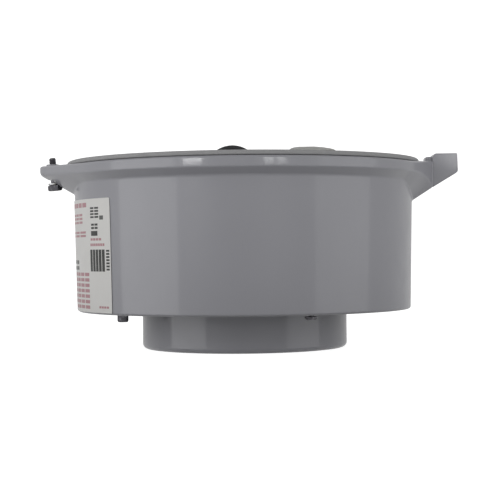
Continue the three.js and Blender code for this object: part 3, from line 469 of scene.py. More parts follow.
def moulded(name, light, dark, roughness=(0.35, 0.5), scale=1100, coat=0.0):
    """Moulded plastic or insulation with a fine moulded texture."""
    look = Look(name, coat=coat)
    color = look.mix(look.grain(80, 0, 1, 0.35, 0.65), light, dark)
    return look.finish(color, look.grain(200, *roughness), look.pitted(scale, 0.02, 2))


# Printed blocks on the label, as (first degree, last degree, lowest mm, highest mm, ink, lines,
# words): the degrees go from the front, -Y, towards -X. The blocks stand for print; none is lettering.
LABEL_BLOCKS = [
    (62, 84, 84.8, 88.6, "red", 1, 5),
    (66, 84, 71.2, 80.7, "red", 3, 4),
    (63, 84, 59.8, 65.7, "red", 2, 3),
    (72, 84, 32, 42, "grey", 2, 3),
    (61, 80, -0.6, 31.4, "red", 7, 4),
    (61, 63, -0.6, 31.4, "red", 7, 1),
    (53.4, 59.4, 75.4, 85.4, "black", 4, 2),
    (50.6, 52.8, 73.8, 77.2, "grey", 1, 1),
    (54, 58.8, 66.2, 71.8, "black", 2, 2),
    (54.2, 58.6, 60.6, 64.6, "black", 1, 1),
    (52, 59.4, 56.6, 58.6, "red", 1, 4),
    (50.2, 59.6, 52, 54.2, "red", 1, 7),
    (50.2, 59.9, 30.9, 49.1, "black", 1, 5),
    (47.6, 49.4, 31.8, 49.8, "black", 7, 1),
    (48.6, 54.5, 0.4, 2.2, "red", 1, 4),
    (90, 112, 60, 86, "grey", 7, 4),
    (90, 128, 12, 40, "grey", 8, 6),
    (115, 130, 66, 86, "red", 5, 2),
]
LABEL = {"first": 47, "last": 133, "bottom": -3.5, "top": 91.6, "corner": 0.9, "back": 0.3, "front": 0.65}
INK_COVER, WORD_SHARE, LINE_SHARE = 0.98, 0.84, 0.62
INKS = {"red": "ae7f85", "grey": "50524f", "black": "1c1e1c"}


def printed_film():
    """White polyester film with blocks of print laid out by angle and height."""
    look = Look("label_film", specular=0.45, coat=0.15, coat_roughness=0.3)
    split = look.node("ShaderNodeSeparateXYZ", {0: look.place}).outputs
    back, side = (look.maths("MULTIPLY", split[axis], -1.0) for axis in (1, 0))
    angle = look.maths("MULTIPLY", look.maths("ARCTAN2", side, back), 360 / TURN)
    height = look.maths("MULTIPLY", split[2], 1 / MM)
    color = look.mix(look.noise(60), "dad9d7", "d3d2cf")
    for first, last, lowest, highest, ink, lines, words in LABEL_BLOCKS:
        cover = INK_COVER
        for where, start, end, count, inked in ((angle, first, last, words, WORD_SHARE),
                                                (height, lowest, highest, lines, LINE_SHARE)):
            cover = look.maths("MULTIPLY", look.within(where, start, end), cover)
            if count > 1:
                share = look.maths("FRACT", look.between(where, start, end, 0, count))
                cover = look.maths("MULTIPLY", look.maths("LESS_THAN", share, inked), cover)
        color = look.mix(cover, color, INKS[ink])
    return look.finish(color, look.grain(150, 0.36, 0.5), look.pitted(45, 0.06, 2))


LOOKS = {
    "body_paint": cast_paint(),
    "gasket_rubber": rubber("grey_rubber", "9a9a9b", "909091"),
    "black_rubber": rubber("black_rubber", "1c1c1e", "121214"),
    "plated_steel": plated_steel("zinc_plated_steel", "b4b5b6", "a39f94"),
    "spring_steel": plated_steel("spring_steel", "a9a9a7", "8e8c86"),
    "dark_steel": black_steel(),
    "porcelain": glazed_porcelain(),
    "brass": drawn_metal("brass", "c9a35c", "8f6a34", (120, 120, 3000), (0.24, 0.38)),
    "can_aluminium": drawn_metal("drawn_aluminium", "c6c7c9", "a3a4a7", (90, 90, 2600), (0.28, 0.42)),
    "label_film": printed_film(),
    "lamination_steel": laminations(),
    "winding_copper": enamelled_copper(),
    "coil_tape": moulded("coil_tape", "d9c78e", "bfa869", (0.3, 0.45), 500, 0.2),
    "tape_pad": moulded("glass_tape_pad", "c4c4c0", "babab6", (0.5, 0.65), 700),
    "phenolic": moulded("phenolic", "29241f", "352d26"),
    "potting": moulded("ignitor_plastic", "d8d4ca", "cbc6ba"),
    "ground_green": plated_steel("green_screw", "2f7f48", "256a3b", 0.6),
}
WIRE_COLORS = {
    "line_lead": ("1b1b1d", "262628", "lead_black"),
    "ignitor_lead": ("2c4f96", "25437f", "lead_blue"),
    "capacitor_lead_1": ("cba53c", "b99330", "lead_yellow"),
    "capacitor_lead_2": ("cba53c", "b99330", "lead_yellow"),
    "lamp_lead": ("b43a2c", "9f3025", "lead_red"),
    "shell_lead": ("dcdad4", "cfccc4", "lead_white"),
    "ground_lead": ("2f7a45", "27683a", "lead_green"),
}


# ---- the casting

def root_share(off):
    """How far the gusset under an ear has come down the wall, from 0 to 1."""
    share = min(max((GUSSET["start"] - off) / (GUSSET["start"] - GUSSET["end"]), 0.0), 1.0)
    return share * share / (share + 0.1) * 1.1


def smooth_step(share):
    share = min(max(share, 0.0), 1.0)
    return share * share * (3 - 2 * share)


def closure_ear(off):
    """Reach, share of the full ear, underside and top of the closure ear, off its middle by an angle."""
    gap = acos((FLANGE_RADIUS - CLOSURE["round"]) / CLOSURE["middle"])
    touch = atan2(CLOSURE["round"] * sin(gap),
                       CLOSURE["middle"] + CLOSURE["round"] * cos(gap))
    if off >= gap:
        return None
    if off < touch:
        side = CLOSURE["middle"] * sin(off)
        reach = CLOSURE["middle"] * cos(off) + sqrt(CLOSURE["round"] ** 2 - side ** 2)
        share = 1.0
    else:
        reach = FLANGE_RADIUS / cos(gap - off)
        share = tan(gap - off) / tan(gap - touch)
    return reach, share, CLOSURE["under"], CLOSURE["top"]


def hinge_web(off):
    """The same for the hinge ear's web, which ends inside the block with a fillet at its side."""
    gap, half, fillet = HINGE["tangent"], HINGE["half"] - 0.2, 1.5
    if off >= gap:
        return None
    centre_y = half + fillet
    centre_x = (FLANGE_RADIUS + fillet - centre_y * sin(gap)) / cos(gap)
    start = atan2(half, centre_x)
    end = atan2(centre_y - fillet * sin(gap), centre_x - fillet * cos(gap))
    share = min(1.0, tan(gap - off) / tan(gap - end))
    if off <= start:
        reach = centre_x / cos(off)
    elif off < end:
        along = centre_x * cos(off) + centre_y * sin(off)
        across = centre_x * sin(off) - centre_y * cos(off)
        reach = along - sqrt(max(fillet ** 2 - across ** 2, 0))
    else:
        reach = FLANGE_RADIUS / cos(gap - off)
    under = HINGE["under"]
    if off < end:
        slope = (HINGE["end_under"] - HINGE["root"]) / (HINGE["end"] - HEAD_RADIUS + 2)
        under += max(0.0, reach * cos(off) - HINGE["near"]) * slope + 0.15
    return reach, share, under, HINGE["web_top"]


def wall_radius(z):
    return FOOT_RADIUS + (HEAD_RADIUS - FOOT_RADIUS) * (z - UNDERSIDE_Z) / (FLANGE_UNDER_Z - UNDERSIDE_Z)


def casting_section(angle):
    """The casting's outline at an angle from +X: out along the neck's ceiling, down its bore, up the
    outside, over the flange or an ear, down the inside and back along the floor."""
    from_hinge = abs((angle + pi) % TURN - pi)
    ear = hinge_web(from_hinge) or closure_ear(pi - from_hinge)
    root_drop = FLANGE_ROOT_Z - (HINGE["root"] if from_hinge < 1 else CLOSURE["root"])
    root_z = FLANGE_ROOT_Z - root_drop * root_share(min(from_hinge, pi - from_hinge))
    reach, under, top, seat, lower_round = (
        FLANGE_RADIUS, FLANGE_UNDER_Z, FLANGE_TOP_Z, FLANGE_RADIUS - 2.1, 2.2)
    if ear:
        reach, share, ear_under, ear_top = ear
        eased = share * share / (share + 0.06) * 1.06
        keel = share ** 3.5 if ear_under < under else eased
        under += (ear_under - under) * keel
        top += (ear_top - top) * eased
        seat += (GASKET_OUTER + 0.8 - seat) * smooth_step(share * 5)
        lower_round += 3.2 * smooth_step(share * 2.5)
    bore = [(0, UNDERSIDE_Z, 0), (NECK_BORE, UNDERSIDE_Z, 0.8)]
    rows = np.arange(RIM_Z + THREAD["to"] + 1, RIM_Z + 1, -THREAD["pitch"] / 10)
    thread = [complex(thread_radius(angle, z), z) for z in rows]
    outside = rounded([
        (NECK_BORE, RIM_Z + 1, 0), (NECK_BORE + 1, RIM_Z, 0),
        (NECK_RADIUS, RIM_Z, RIM_ROUND),
        (NECK_RADIUS, UNDERSIDE_Z, NECK_FILLET),
        (FOOT_RADIUS, UNDERSIDE_Z, FOOT_ROUND),
        (wall_radius(root_z), root_z, FLANGE_FILLET),
        (reach, under, lower_round),
        (reach, top, 2.0),
        (seat, top, 0), (seat, FLANGE_TOP_Z, 0),
        (GROOVE["outer"], FLANGE_TOP_Z, 0.3), (GROOVE["outer"], GROOVE["bottom"], 0.4),
        (GROOVE["inner"], GROOVE["bottom"], 0.4), (GROOVE["inner"], FLANGE_TOP_Z, 0.3),
        (HEAD_RADIUS - WALL_THICKNESS, FLANGE_TOP_Z, 0.8),
        (FOOT_RADIUS - WALL_THICKNESS, 0, FLOOR_FILLET),
        (60, 0, 0), (0, 0, 0),
    ], 6)
    return rounded([*bore, (NECK_BORE, RIM_Z, 0)])[:-1] + thread + outside


def thread_radius(angle, z):
    """Radius of the neck's bore: a rounded helical groove that fades in and out."""
    height = z - RIM_Z
    fade = smooth_step((height - THREAD["from"] + 2) / 3) * smooth_step((THREAD["to"] - height) / 3)
    phase = height / THREAD["pitch"] - angle / TURN
    groove = max(0.0, cos(TURN * phase) + 0.35) / 1.35
    return NECK_BORE + THREAD["depth"] * fade * groove


def cast_pad(radius, height, place, flare=1.2):
    """A low cast pad with a fillet at its foot."""
    profile = rounded([(0, -1, 0), (radius + flare, -1, 0), (radius + flare, 0.02, 0),
                       (radius, 0.3, flare), (radius, height, 0.5), (0, height, 0)], 4)
    return moved(turned("pad", profile, 40), place)


def hole(radius, bottom, top, place, steps=40):
    return moved(rod("hole", radius, bottom, top, steps), place)


def numbered(kind, *indices):
    return [f"{kind}_{index}" for index in indices]


def holes_at(nodes, radius, bottom, top, steps=40):
    return [hole(radius, bottom, top, (p.x, p.y, 0), steps) for p in map(middle, nodes)]


def pads_at(nodes, radius, height, flare=1.2):
    return [cast_pad(radius, height, (p.x, p.y, 0), flare) for p in map(middle, nodes)]


def ballast_housing():
    quarter = np.radians(np.concatenate([
        np.arange(0, 3.6, 0.6), np.arange(3.6, 6.6, 0.15), np.arange(6.6, 12, 0.45),
        np.arange(12, 34, 0.9), np.linspace(34, 90, 39)]))
    casting = skin("casting", [[around(angle, p.real, p.imag) for p in casting_section(angle)]
                               for angle in mirrored_angles(quarter)])
    gear = [*numbered("core_foot_screw", 1, 2, 3, 4), "capacitor_clamp_screw",
            *numbered("ignitor_screw", 1, 2), *numbered("terminal_foot_screw", 1, 2)]
    lamp_screws, guards = numbered("lampholder_screw", 1, 2), numbered("guard_screw", 1, 2, 3, 4)
    added = pads_at(gear, 6, 3) + pads_at(lamp_screws, 7, 3) + pads_at(guards, 7, 8, 2)
    added += pads_at(["lead_bushing"], 12, 3) + pads_at(["ground_screw"], 7, 5)
    added += pads_at(["capacitor_can"], 14, 3)
    joined(casting, *added, closure_boss(), hinge_block(), stop_lug())
    removed = holes_at(gear, 2.1, -2.5, 5, 24) + holes_at(lamp_screws, 2.1, -6, 1.2, 24)
    removed += holes_at(guards, 2.7, -6, 5, 24) + holes_at(["lead_bushing"], 7, -6, 5)
    removed += holes_at(["ground_screw"], 2.1, -1, 6, 24)
    set_screw = rod("hole", 2.6, NECK_BORE - 1, NECK_RADIUS + 1, 32)
    removed.append(moved(set_screw, (0, 0, middle("globe_set_screw").z), about("X", -90)))
    removed += closure_cuts() + hinge_cuts()
    cut(casting, *removed)
    return finished(casting, "ballast_housing", "body_paint", sharp=34)


def closure_boss():
    profile = rounded([(0, 116, 0), (7.6, 116, 0), (7.6, 123.2, 0), (5.9, 123.6, 1.1),
                       (5.85, 125.2, 0.5), (0, 125.2, 0)], 4)
    return moved(turned("boss", profile, 48), (BOLT_AT[0] - 0.6, 0, 0))


def closure_cuts():
    x = BOLT_AT[0]
    return [hole(3.9, 85, 130, (x, 0, 0)), hole(8.2, 85, 111.5, (x, 0, 0)),
            hole(5.0, 123.6, 130, (x - 0.6, 0, 0))]


def hinge_block():
    """The block at the hinge ear's end, drawn sideways from its outline in X and Z."""
    near, end = HINGE["near"], HINGE["end"]
    slope = (HINGE["end_under"] - HINGE["root"]) / (end - HEAD_RADIUS + 2)
    outline = [(near, HINGE["end_under"] - (end - near) * slope), (end - 2, HINGE["end_under"] - 2 * slope),
               (end - 0.5, HINGE["end_under"]), (end, HINGE["end_under"] + 1.4),
               (end - 0.5, HINGE_TOP_Z), (near + 2.4, HINGE_TOP_Z), (near, HINGE_TOP_Z - 2.7)]
    return sideways("block", outline, -HINGE["half"], HINGE["half"], 0.9, 4)


def stop_lug():
    outline = [(159.8, 122), (161.0, 124.4), (161.4, 127.6), (162.2, 128.4), (171.6, 128.4),
               (171.6, 122)]
    return sideways("lug", outline, -7, 7, 0.7)


def hinge_cuts():
    slot = box("slot", (173.5, -6.5, 112), (HINGE["end"] + 2, 6.5, HINGE_TOP_Z + 2), 0.6)
    bore = rod("bore", 3.25, -HINGE["half"] - 1, HINGE["half"] - 2.2, 40)
    return [slot, moved(bore, (HINGE_PIN.x, 0, HINGE_PIN.z), about("X", 90))]


# ---- gasket, label and outer fasteners

def hood_gasket():
    bottom, leg, top = FLANGE_TOP_Z + 0.3, low("hood_gasket").z, high("hood_gasket").z
    inner, outer = 145.5, GASKET_OUTER
    profile = rounded([(148.6, bottom, 0.3), (148.6, leg, 0.3), (152.4, leg, 0.3),
                       (152.4, bottom, 0.3), (outer, bottom, 1.2), (outer, top, 2.6),
                       (inner, top, 2.6), (inner, bottom, 1.2)], 7)

    def slack(angle, r, z):
        return r + 0.12 * sin(7 * angle) + 0.08 * sin(19 * angle + 1)
    finished(turned("gasket", profile, 288, True, slack), "hood_gasket", "gasket_rubber")


def data_label():
    """A thin film bent round the drafted wall, with rounded corners."""
    first, last, bottom, top = LABEL["first"], LABEL["last"], LABEL["bottom"], LABEL["top"]
    per_degree = FOOT_RADIUS * radians(1)
    half_width, half_height = (last - first) * per_degree / 2, (top - bottom) / 2
    bm = bmesh.new()
    bmesh.ops.create_grid(bm, x_segments=120, y_segments=14, size=0.5)
    for vertex in bm.verts:
        x, y = vertex.co.x * 2 * half_width, vertex.co.y * 2 * half_height
        side, end = half_width - LABEL["corner"], half_height - LABEL["corner"]
        over_x, over_y = abs(x) - side, abs(y) - end
        if over_x > 0 and over_y > 0 and hypot(over_x, over_y) > LABEL["corner"]:
            pull = LABEL["corner"] / hypot(over_x, over_y)
            x, y = copysign(side + over_x * pull, x), copysign(end + over_y * pull, y)
        vertex.co = (x, y, 0)
    points = [bend_on_wall(v.co, (first + last) / 2, per_degree, (top + bottom) / 2, lift)
              for lift in (LABEL["back"], LABEL["front"]) for v in bm.verts]
    count = len(bm.verts)
    faces = [[v.index for v in f.verts] for f in bm.faces]
    faces += [[i + count for i in reversed(f)] for f in faces]
    rims = [[v.index for v in e.verts] for e in bm.edges if e.is_boundary]
    faces += [[a, b, b + count, a + count] for a, b in rims]
    bm.free()
    finished(solid("label", np.array(points), faces), "data_label", "label_film", sharp=50)


def bend_on_wall(flat, centre, per_degree, height, lift):
    """A point of the flat label, bent round the wall and in over the wall's rounded foot."""
    z = flat.y + height
    below = max(0.0, UNDERSIDE_Z + FOOT_ROUND - z)
    radius = wall_radius(z + below) + lift - (FOOT_ROUND - sqrt(FOOT_ROUND ** 2 - below ** 2))
    angle = radians(centre - flat.x / per_degree)
    return -radius * sin(angle), -radius * cos(angle), z


def hex_radius(corner):
    flat = corner * cos(TURN / 12)

    def radius(angle, r, z):
        within = angle % (TURN / 6) - TURN / 12
        return min(r, flat / cos(within))
    return radius


def hex_head(name, corner, bottom, top, chamfer=0.9):
    """A hexagon head along Z with its corners turned off at the bottom."""
    profile = [complex(0, bottom), complex(corner * 0.82, bottom),
               complex(corner - chamfer * 0.6, bottom + chamfer * 0.35),
               complex(corner, bottom + chamfer), complex(corner, top), complex(0, top)]
    return turned(name, profile, 72, radius_at=hex_radius(corner))


def threaded(name, radius, bottom, top, pitch, turns_from, depth=0.55):
    """A bar along Z with a helical thread above turns_from."""
    rows = np.concatenate([[bottom], np.arange(turns_from, top - 0.9, pitch / 6), [top - 0.5, top]])

    def groove(angle, r, z):
        phase = (z / pitch - angle / TURN) % 1
        cut_in = depth * abs(2 * phase - 1) if z > turns_from else 0
        r -= cut_in * smooth_step((z - turns_from) / pitch)
        return max(0.0, r - max(0.0, z - (top - 0.9)) * 0.9)
    profile = [complex(0, bottom), *(complex(radius, z) for z in rows), complex(0, top)]
    return turned(name, profile, 28, radius_at=groove)


def on_bolt_axis(obj):
    return moved(obj, BOLT_AT, Matrix.Rotation(-BOLT_LEAN, 3, "Y"))


def closure_bolt():
    head = hex_head("head", 6.4, -15.6, -10.9)
    face = rod("face", 5.2, -12, -10.6, 48, 0, 0.2)
    shank = threaded("shank", 3.175, -11.6, 13.6, 1.27, -4)
    bolt = on_bolt_axis(joined(head, face, shank))
    finished(bolt, "closure_bolt", "dark_steel", BOLT)
    washer = collar_ring((3.5, 5.6), (-10.25, -8.85), (0.15, 0.3), 64, 3)
    finished(on_bolt_axis(washer), "closure_washer", "plated_steel", CARRIER)
    ring = collar_ring((3.35, 4.5), (6.95, 7.68), (0.1, 0.2), 64, 3)
    finished(on_bolt_axis(ring), "closure_retaining_ring", "spring_steel", CARRIER)


# How much shorter than its node each guard screw's head is.
HEAD_CUTS = {1: 1.4, 2: 1.6, 4: 1.6}


def guard_screws():
    for index, node in enumerate(numbered("guard_screw", 1, 2, 3, 4), 1):
        bottom, top = low(node).z, high(node).z
        seat = bottom + 4
        bottom += HEAD_CUTS.get(index, 0)
        head = hex_head("head", 4.6, bottom, seat - 0.6, 0.8)
        width, collar_top = (4.7, UNDERSIDE_Z - 0.1) if index == 4 else (5.3, seat)
        collar = rod("collar", width, seat - 1.2, collar_top, 48, 0.4, 0.3)
        shank = threaded("shank", 2.4, seat - 0.8, top, 0.9, seat, 0.35)
        finished(over(joined(head, collar, shank), node), node, "dark_steel")


def hinge_pin():
    lowest, highest = low("hinge_pin").y, high("hinge_pin").y
    pin = rod("pin", 3, -highest, -lowest, 48, 0.5)
    finished(moved(pin, (HINGE_PIN.x, 0, HINGE_PIN.z), about("X", 90)), "hinge_pin", "plated_steel")


def globe_set_screw():
    start, end = low("globe_set_screw").y, high("globe_set_screw").y
    made = threaded("set_screw", 2.3, start, end, 0.9, start + 0.5, 0.35)
    cut(made, prism("socket", [around(k * TURN / 6, 1.2, 0)[:2] for k in range(6)], end - 2, end + 1))
    moved(made, (0, 0, middle("globe_set_screw").z), about("X", -90))
    finished(made, "globe_set_screw", "plated_steel")


# ---- small screws

def pan_screw(radius, bottom, seat, head_radius, head_top):
    """A pan-head screw along Z with a cross recess."""
    profile = rounded([(0, bottom, 0), (radius, bottom, 0.3), (radius, seat, 0),
                       (head_radius, seat, 0.2), (head_radius, seat + (head_top - seat) * 0.55, 0.8),
                       (head_radius * 0.62, head_top, 0.9), (0, head_top, 0)], 4)
    made = turned("screw", profile, 40)
    width, reach = head_radius * 0.14, head_radius * 0.55
    depth = head_top - (head_top - seat) * 0.6
    arms = [prism("arm", [(-w, -h), (w, -h), (w, h), (-w, h)], depth, head_top + 1)
            for w, h in ((width, reach), (reach, width * 1.01))]
    return cut(made, *arms)


def small_screws():
    """Every small screw is made to its own node's box; those that hang point down."""
    kinds = {
        "core_foot_screw": (4, 1.8, "plated_steel"),
        "ignitor_screw": (2, 1.8, "plated_steel"),
        "terminal_foot_screw": (2, 1.8, "plated_steel"),
        "terminal_screw": (4, 1.7, "brass"),
        "capacitor_clamp_screw": (0, 1.8, "plated_steel"),
        "lampholder_screw": (2, 1.9, "plated_steel"),
    }
    for kind, (count, radius, slot) in kinds.items():
        for node in [f"{kind}_{i}" for i in range(1, count + 1)] or [kind]:
            lowest, highest, place = extent(node)
            height = 2.2 if kind.startswith("terminal") else 2.4
            made = pan_screw(radius, height - (highest.z - lowest.z), 0, (highest.x - lowest.x) / 2, height)
            if kind == "lampholder_screw":
                over(made, node, lowest.z + height, about("X", 180))
            else:
                over(made, node, highest.z - height, about("Z", 37 * len(node) + 53 * int(place.x) % 90))
            finished(made, node, slot)


# ---- neck: gasket, bushing, lampholder

def neck_rubber():
    lowest, highest = low("globe_gasket"), high("globe_gasket")
    made = collar_ring((71, highest.x), (lowest.z, highest.z), (0.6, 0.6), 192)
    finished(made, "globe_gasket", "gasket_rubber")
    bottom, top = low("lead_bushing").z, high("lead_bushing").z
    bushing = turned("bushing", rounded([
        (4.6, bottom, 0.6), (6.7, bottom, 0.5), (6.7, 3.3, 0), (10, 3.3, 0.5),
        (10, top, 0.7), (4.6, top, 0.6)]), 64, True)
    finished(over(bushing, "lead_bushing"), "lead_bushing", "black_rubber")


def lampholder_bracket():
    lowest, highest = low("lampholder_bracket"), high("lampholder_bracket")
    strap = prism("strap", rounded_outline(highest.x * 2, highest.y * 2, 4), lowest.z, highest.z, 0.3)
    cut(strap, *holes_at(numbered("lampholder_screw", 1, 2), 2.4, lowest.z - 1, highest.z + 1))
    finished(strap, "lampholder_bracket", "plated_steel")


def lampholder_body():
    bottom, back = low("lampholder_body").z, high("lampholder_body").z
    body = turned("porcelain", rounded([
        (0, -14, 0), (3.3, -14, 0), (3.3, -15, 0.2), (14.3, -15, 0.6), (14.3, bottom, 0.8),
        (20.5, bottom, 1.6), (20.5, -17, 1.0), (22, -15.6, 0.8), (22, back, 1.2), (0, back, 0)], 5), 96)
    pockets = [moved(rod("pocket", 1.9, 14, 24, 24), (x, 0, -11), about("X", -90)) for x in (-5, 5)]
    cut(body, hole(4.8, -14, back + 1, (0, 0, 0)), hole(3.3, -16, -13, (0, 0, 0)), *pockets)
    finished(body, "lampholder_body", "porcelain")


def lampholder_shell():
    """The shell's thread is one wave rolled through the sheet."""
    rows = np.linspace(low("lampholder_screw_shell").z, high("lampholder_screw_shell").z, 49)
    pitch, wall = 3.63, 0.5
    profile = [complex(0, z) for z in rows] + [complex(-wall, z) for z in reversed(rows)]

    def rolled(angle, r, z):
        return 13.3 + 0.55 * sin(TURN * (z / pitch - angle / TURN)) + r
    shell = turned("shell", profile, 72, True, rolled)
    finished(shell, "lampholder_screw_shell", "brass", sharp=60)


def lampholder_contact():
    tip, top = low("lampholder_centre_contact").z, high("lampholder_centre_contact").z
    contact = turned("contact", rounded([
        (0, tip, 0), (1.2, tip + 0.05, 0), (2.9, tip + 0.6, 0.9), (2.9, top - 1, 0),
        (4.3, top - 1, 0.2), (4.3, top, 0.2), (0, top, 0)]), 48)
    finished(contact, "lampholder_centre_contact", "brass", CONTACT)


def contact_spring():
    bottom, top = low("lampholder_contact_spring").z, high("lampholder_contact_spring").z
    turns, wire, radius, per_turn = 4.5, 0.35, 3.35, 24
    count = int(turns * per_turn)
    rise = (top - bottom - 2 * wire) / count
    route = [Vector(around(TURN * k / per_turn, radius, bottom + wire + rise * k))
             for k in range(count + 1)]
    spring = tube("spring", route, wire, 10)
    finished(spring, "lampholder_contact_spring", "spring_steel")
    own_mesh(spring)


def tube(name, route, radius, sides):
    """A closed round tube along points in millimetres."""
    rings = [[route[0]] * sides]
    side = None
    for i, point in enumerate(route):
        ahead = (route[min(i + 1, len(route) - 1)] - route[max(i - 1, 0)]).normalized()
        side = side - ahead * side.dot(ahead) if side else ahead.orthogonal()
        side.normalize()
        other = ahead.cross(side)
        rings.append([point + (side * cos(TURN * k / sides) + other * sin(TURN * k / sides)) * radius
                      for k in range(sides)])
    rings.append([route[-1]] * sides)
    return skin(name, np.array([[tuple(p) for p in ring] for ring in rings]).transpose(1, 0, 2))


# ---- core-and-coil ballast

def core_bolt_bores(lowest, highest):
    places = [middle(node) for node in ("core_bolt_1", "core_bolt_2")]
    return [moved(rod("bore", 2.9, lowest.x - 1, highest.x + 1, 32), (0, p.y, p.z), about("Y", 90))
            for p in places]


def ballast_core():
    """The stack of sheets, with a soft pad of coil tape laid over its top."""
    lowest, highest = low("ballast_core"), high("ballast_core")
    leg = 10
    sheets_top = highest.z - 4
    core = box("core", lowest, (highest.x, highest.y, sheets_top), 0.5)
    middle_y = (lowest.y + highest.y) / 2
    windows = []
    for side in (-1, 1):
        edges = sorted((middle_y + side * leg, middle_y + side * ((highest.y - lowest.y) / 2 - leg)))
        windows.append(box("window", (lowest.x - 1, edges[0], lowest.z + leg),
                           (highest.x + 1, edges[1], highest.z - leg), 0.0))
    cut(core, *windows, *core_bolt_bores(lowest, highest))
    seams = []
    for y in (middle_y - 21, middle_y, middle_y + 21):
        seam = rod("weld", 1.1, lowest.x + 0.6, highest.x - 0.6, 20, 0.4)
        seams.append(moved(seam, (0, y, sheets_top - 0.75), about("Y", 90)))
    pad = [(lowest.x + 0.4, 129), (lowest.x + 0.6, 130.2), (lowest.x + 1.8, 131.4),
           (lowest.x + 4.5, 132.3), (lowest.x + 9, 132.8), (lowest.x + 21, 132.9),
           (lowest.x + 29, 132.2), (highest.x - 4, 131.2), (highest.x - 0.8, 130.3),
           (highest.x - 0.4, 129)]
    tape = sideways("pad", pad, lowest.y + 0.5, highest.y - 0.5, 0.4)
    finished(joined(core, *seams, tape), "ballast_core", "lamination_steel")
    core.data.materials.append(LOOKS["tape_pad"])
    for face in core.data.polygons:
        if face.center.z / MM > sheets_top + 0.1:
            face.material_index = 1


def winding(node):
    """A winding of round wire round the core's leg, wrapped in tape about its middle."""
    lowest, highest, place = extent(node)
    wire = 1.35
    layers = int((highest.z - lowest.z) / wire)
    pitch = (highest.z - lowest.z) / layers
    half_x, half_y = (highest.x - lowest.x) / 2, (highest.y - lowest.y) / 2
    outline = np.array(rounded_outline(2 * half_x, 2 * half_y, 9, 7))
    inner = np.array(rounded_outline(40, 21, 1, 7))
    toward = outline / np.linalg.norm(outline, axis=1)[:, None]
    rows = []
    for layer in range(layers):
        for share in (0.06, 0.25, 0.5, 0.75, 0.94):
            bulge = sqrt(max(0.0, 1 - (2 * share - 1) ** 2)) - 1
            taped = abs((layer + share) / layers - 0.5) < 0.2
            depth = -0.25 + bulge * 0.1 if taped else bulge * wire / 2 - 0.35
            rows.append((outline + toward * depth, lowest.z + (layer + share) * pitch))
    rows = [(outline - toward * 1.4, lowest.z), *rows, (outline - toward * 1.4, highest.z)]
    rows += [(inner, highest.z), (inner, lowest.z)]
    grid = [[(xy[k][0] + place.x, xy[k][1] + place.y, z) for xy, z in rows]
            for k in range(len(outline))]
    coil = skin(node, grid, True)
    finished(coil, node, "winding_copper", sharp=60)
    coil.data.materials.append(LOOKS["coil_tape"])
    for face in coil.data.polygons:
        height = face.center.z / MM
        if abs((height - lowest.z) / (highest.z - lowest.z) - 0.5) < 0.2:
            face.material_index = 1


def core_brackets():
    for node, side in (("core_bracket_left", -1), ("core_bracket_right", 1)):
        lowest, highest = low(node), high(node)
        upright_x = highest.x if side < 0 else lowest.x
        foot_z = lowest.z + 2
        outline = [(0, lowest.z), (0, highest.z), (2, highest.z), (2, foot_z + 1.2),
                   (3.2, foot_z), (highest.x - lowest.x, foot_z), (highest.x - lowest.x, lowest.z)]
        plate = sideways("bracket", [(side * x, z) for x, z in outline], lowest.y, highest.y, 0.25, 2)
        moved(plate, (upright_x, 0, 0))
        tools = core_bolt_bores(lowest, highest)
        feet = numbered("core_foot_screw", *((1, 2) if side < 0 else (3, 4)))
        tools += holes_at(feet, 2.4, lowest.z - 1, foot_z + 1, 32)
        finished(cut(plate, *tools), node, "plated_steel")


def core_bolts():
    for index in (1, 2):
        node = f"core_bolt_{index}"
        lowest, highest, place = extent(node)
        length = highest.x - lowest.x
        head = hex_head("head", 4.6, 0, 3.4)
        shank = threaded("shank", 2.5, 3, length, 0.8, length - 12, 0.35)
        bolt = moved(joined(head, shank), (lowest.x, place.y, place.z), about("Y", 90))
        finished(bolt, node, "dark_steel")
        node = f"core_nut_{index}"
        lowest, highest = low(node), high(node)
        nut = hex_head("nut", 4.6, 0, highest.x - lowest.x)
        cut(nut, rod("bore", 2.75, -1, 6, 40))
        moved(nut, (lowest.x, place.y, place.z), about("Y", 90))
        finished(nut, node, "dark_steel")


# ---- capacitor

CAN_RADIUS = (high("capacitor_can").x - low("capacitor_can").x) / 2
CAN_TOP = high("capacitor_can").z


def capacitor_can():
    bottom, radius, top = low("capacitor_can").z, CAN_RADIUS, CAN_TOP
    can = turned("can", rounded([
        (0, bottom + 1, 0), (radius - 5, bottom + 1, 0.5), (radius - 4, bottom, 0.5),
        (radius, bottom, 2), (radius, top - 4, 0.5), (radius - 0.5, top - 3.2, 0.4),
        (radius, top - 2.4, 0.4), (radius, top, 0.7), (radius - 1.6, top, 0.5),
        (radius - 2.4, top - 2, 0.4), (0, top - 2, 0)], 4), 80)
    finished(over(can, "capacitor_can"), "capacitor_can", "can_aluminium")


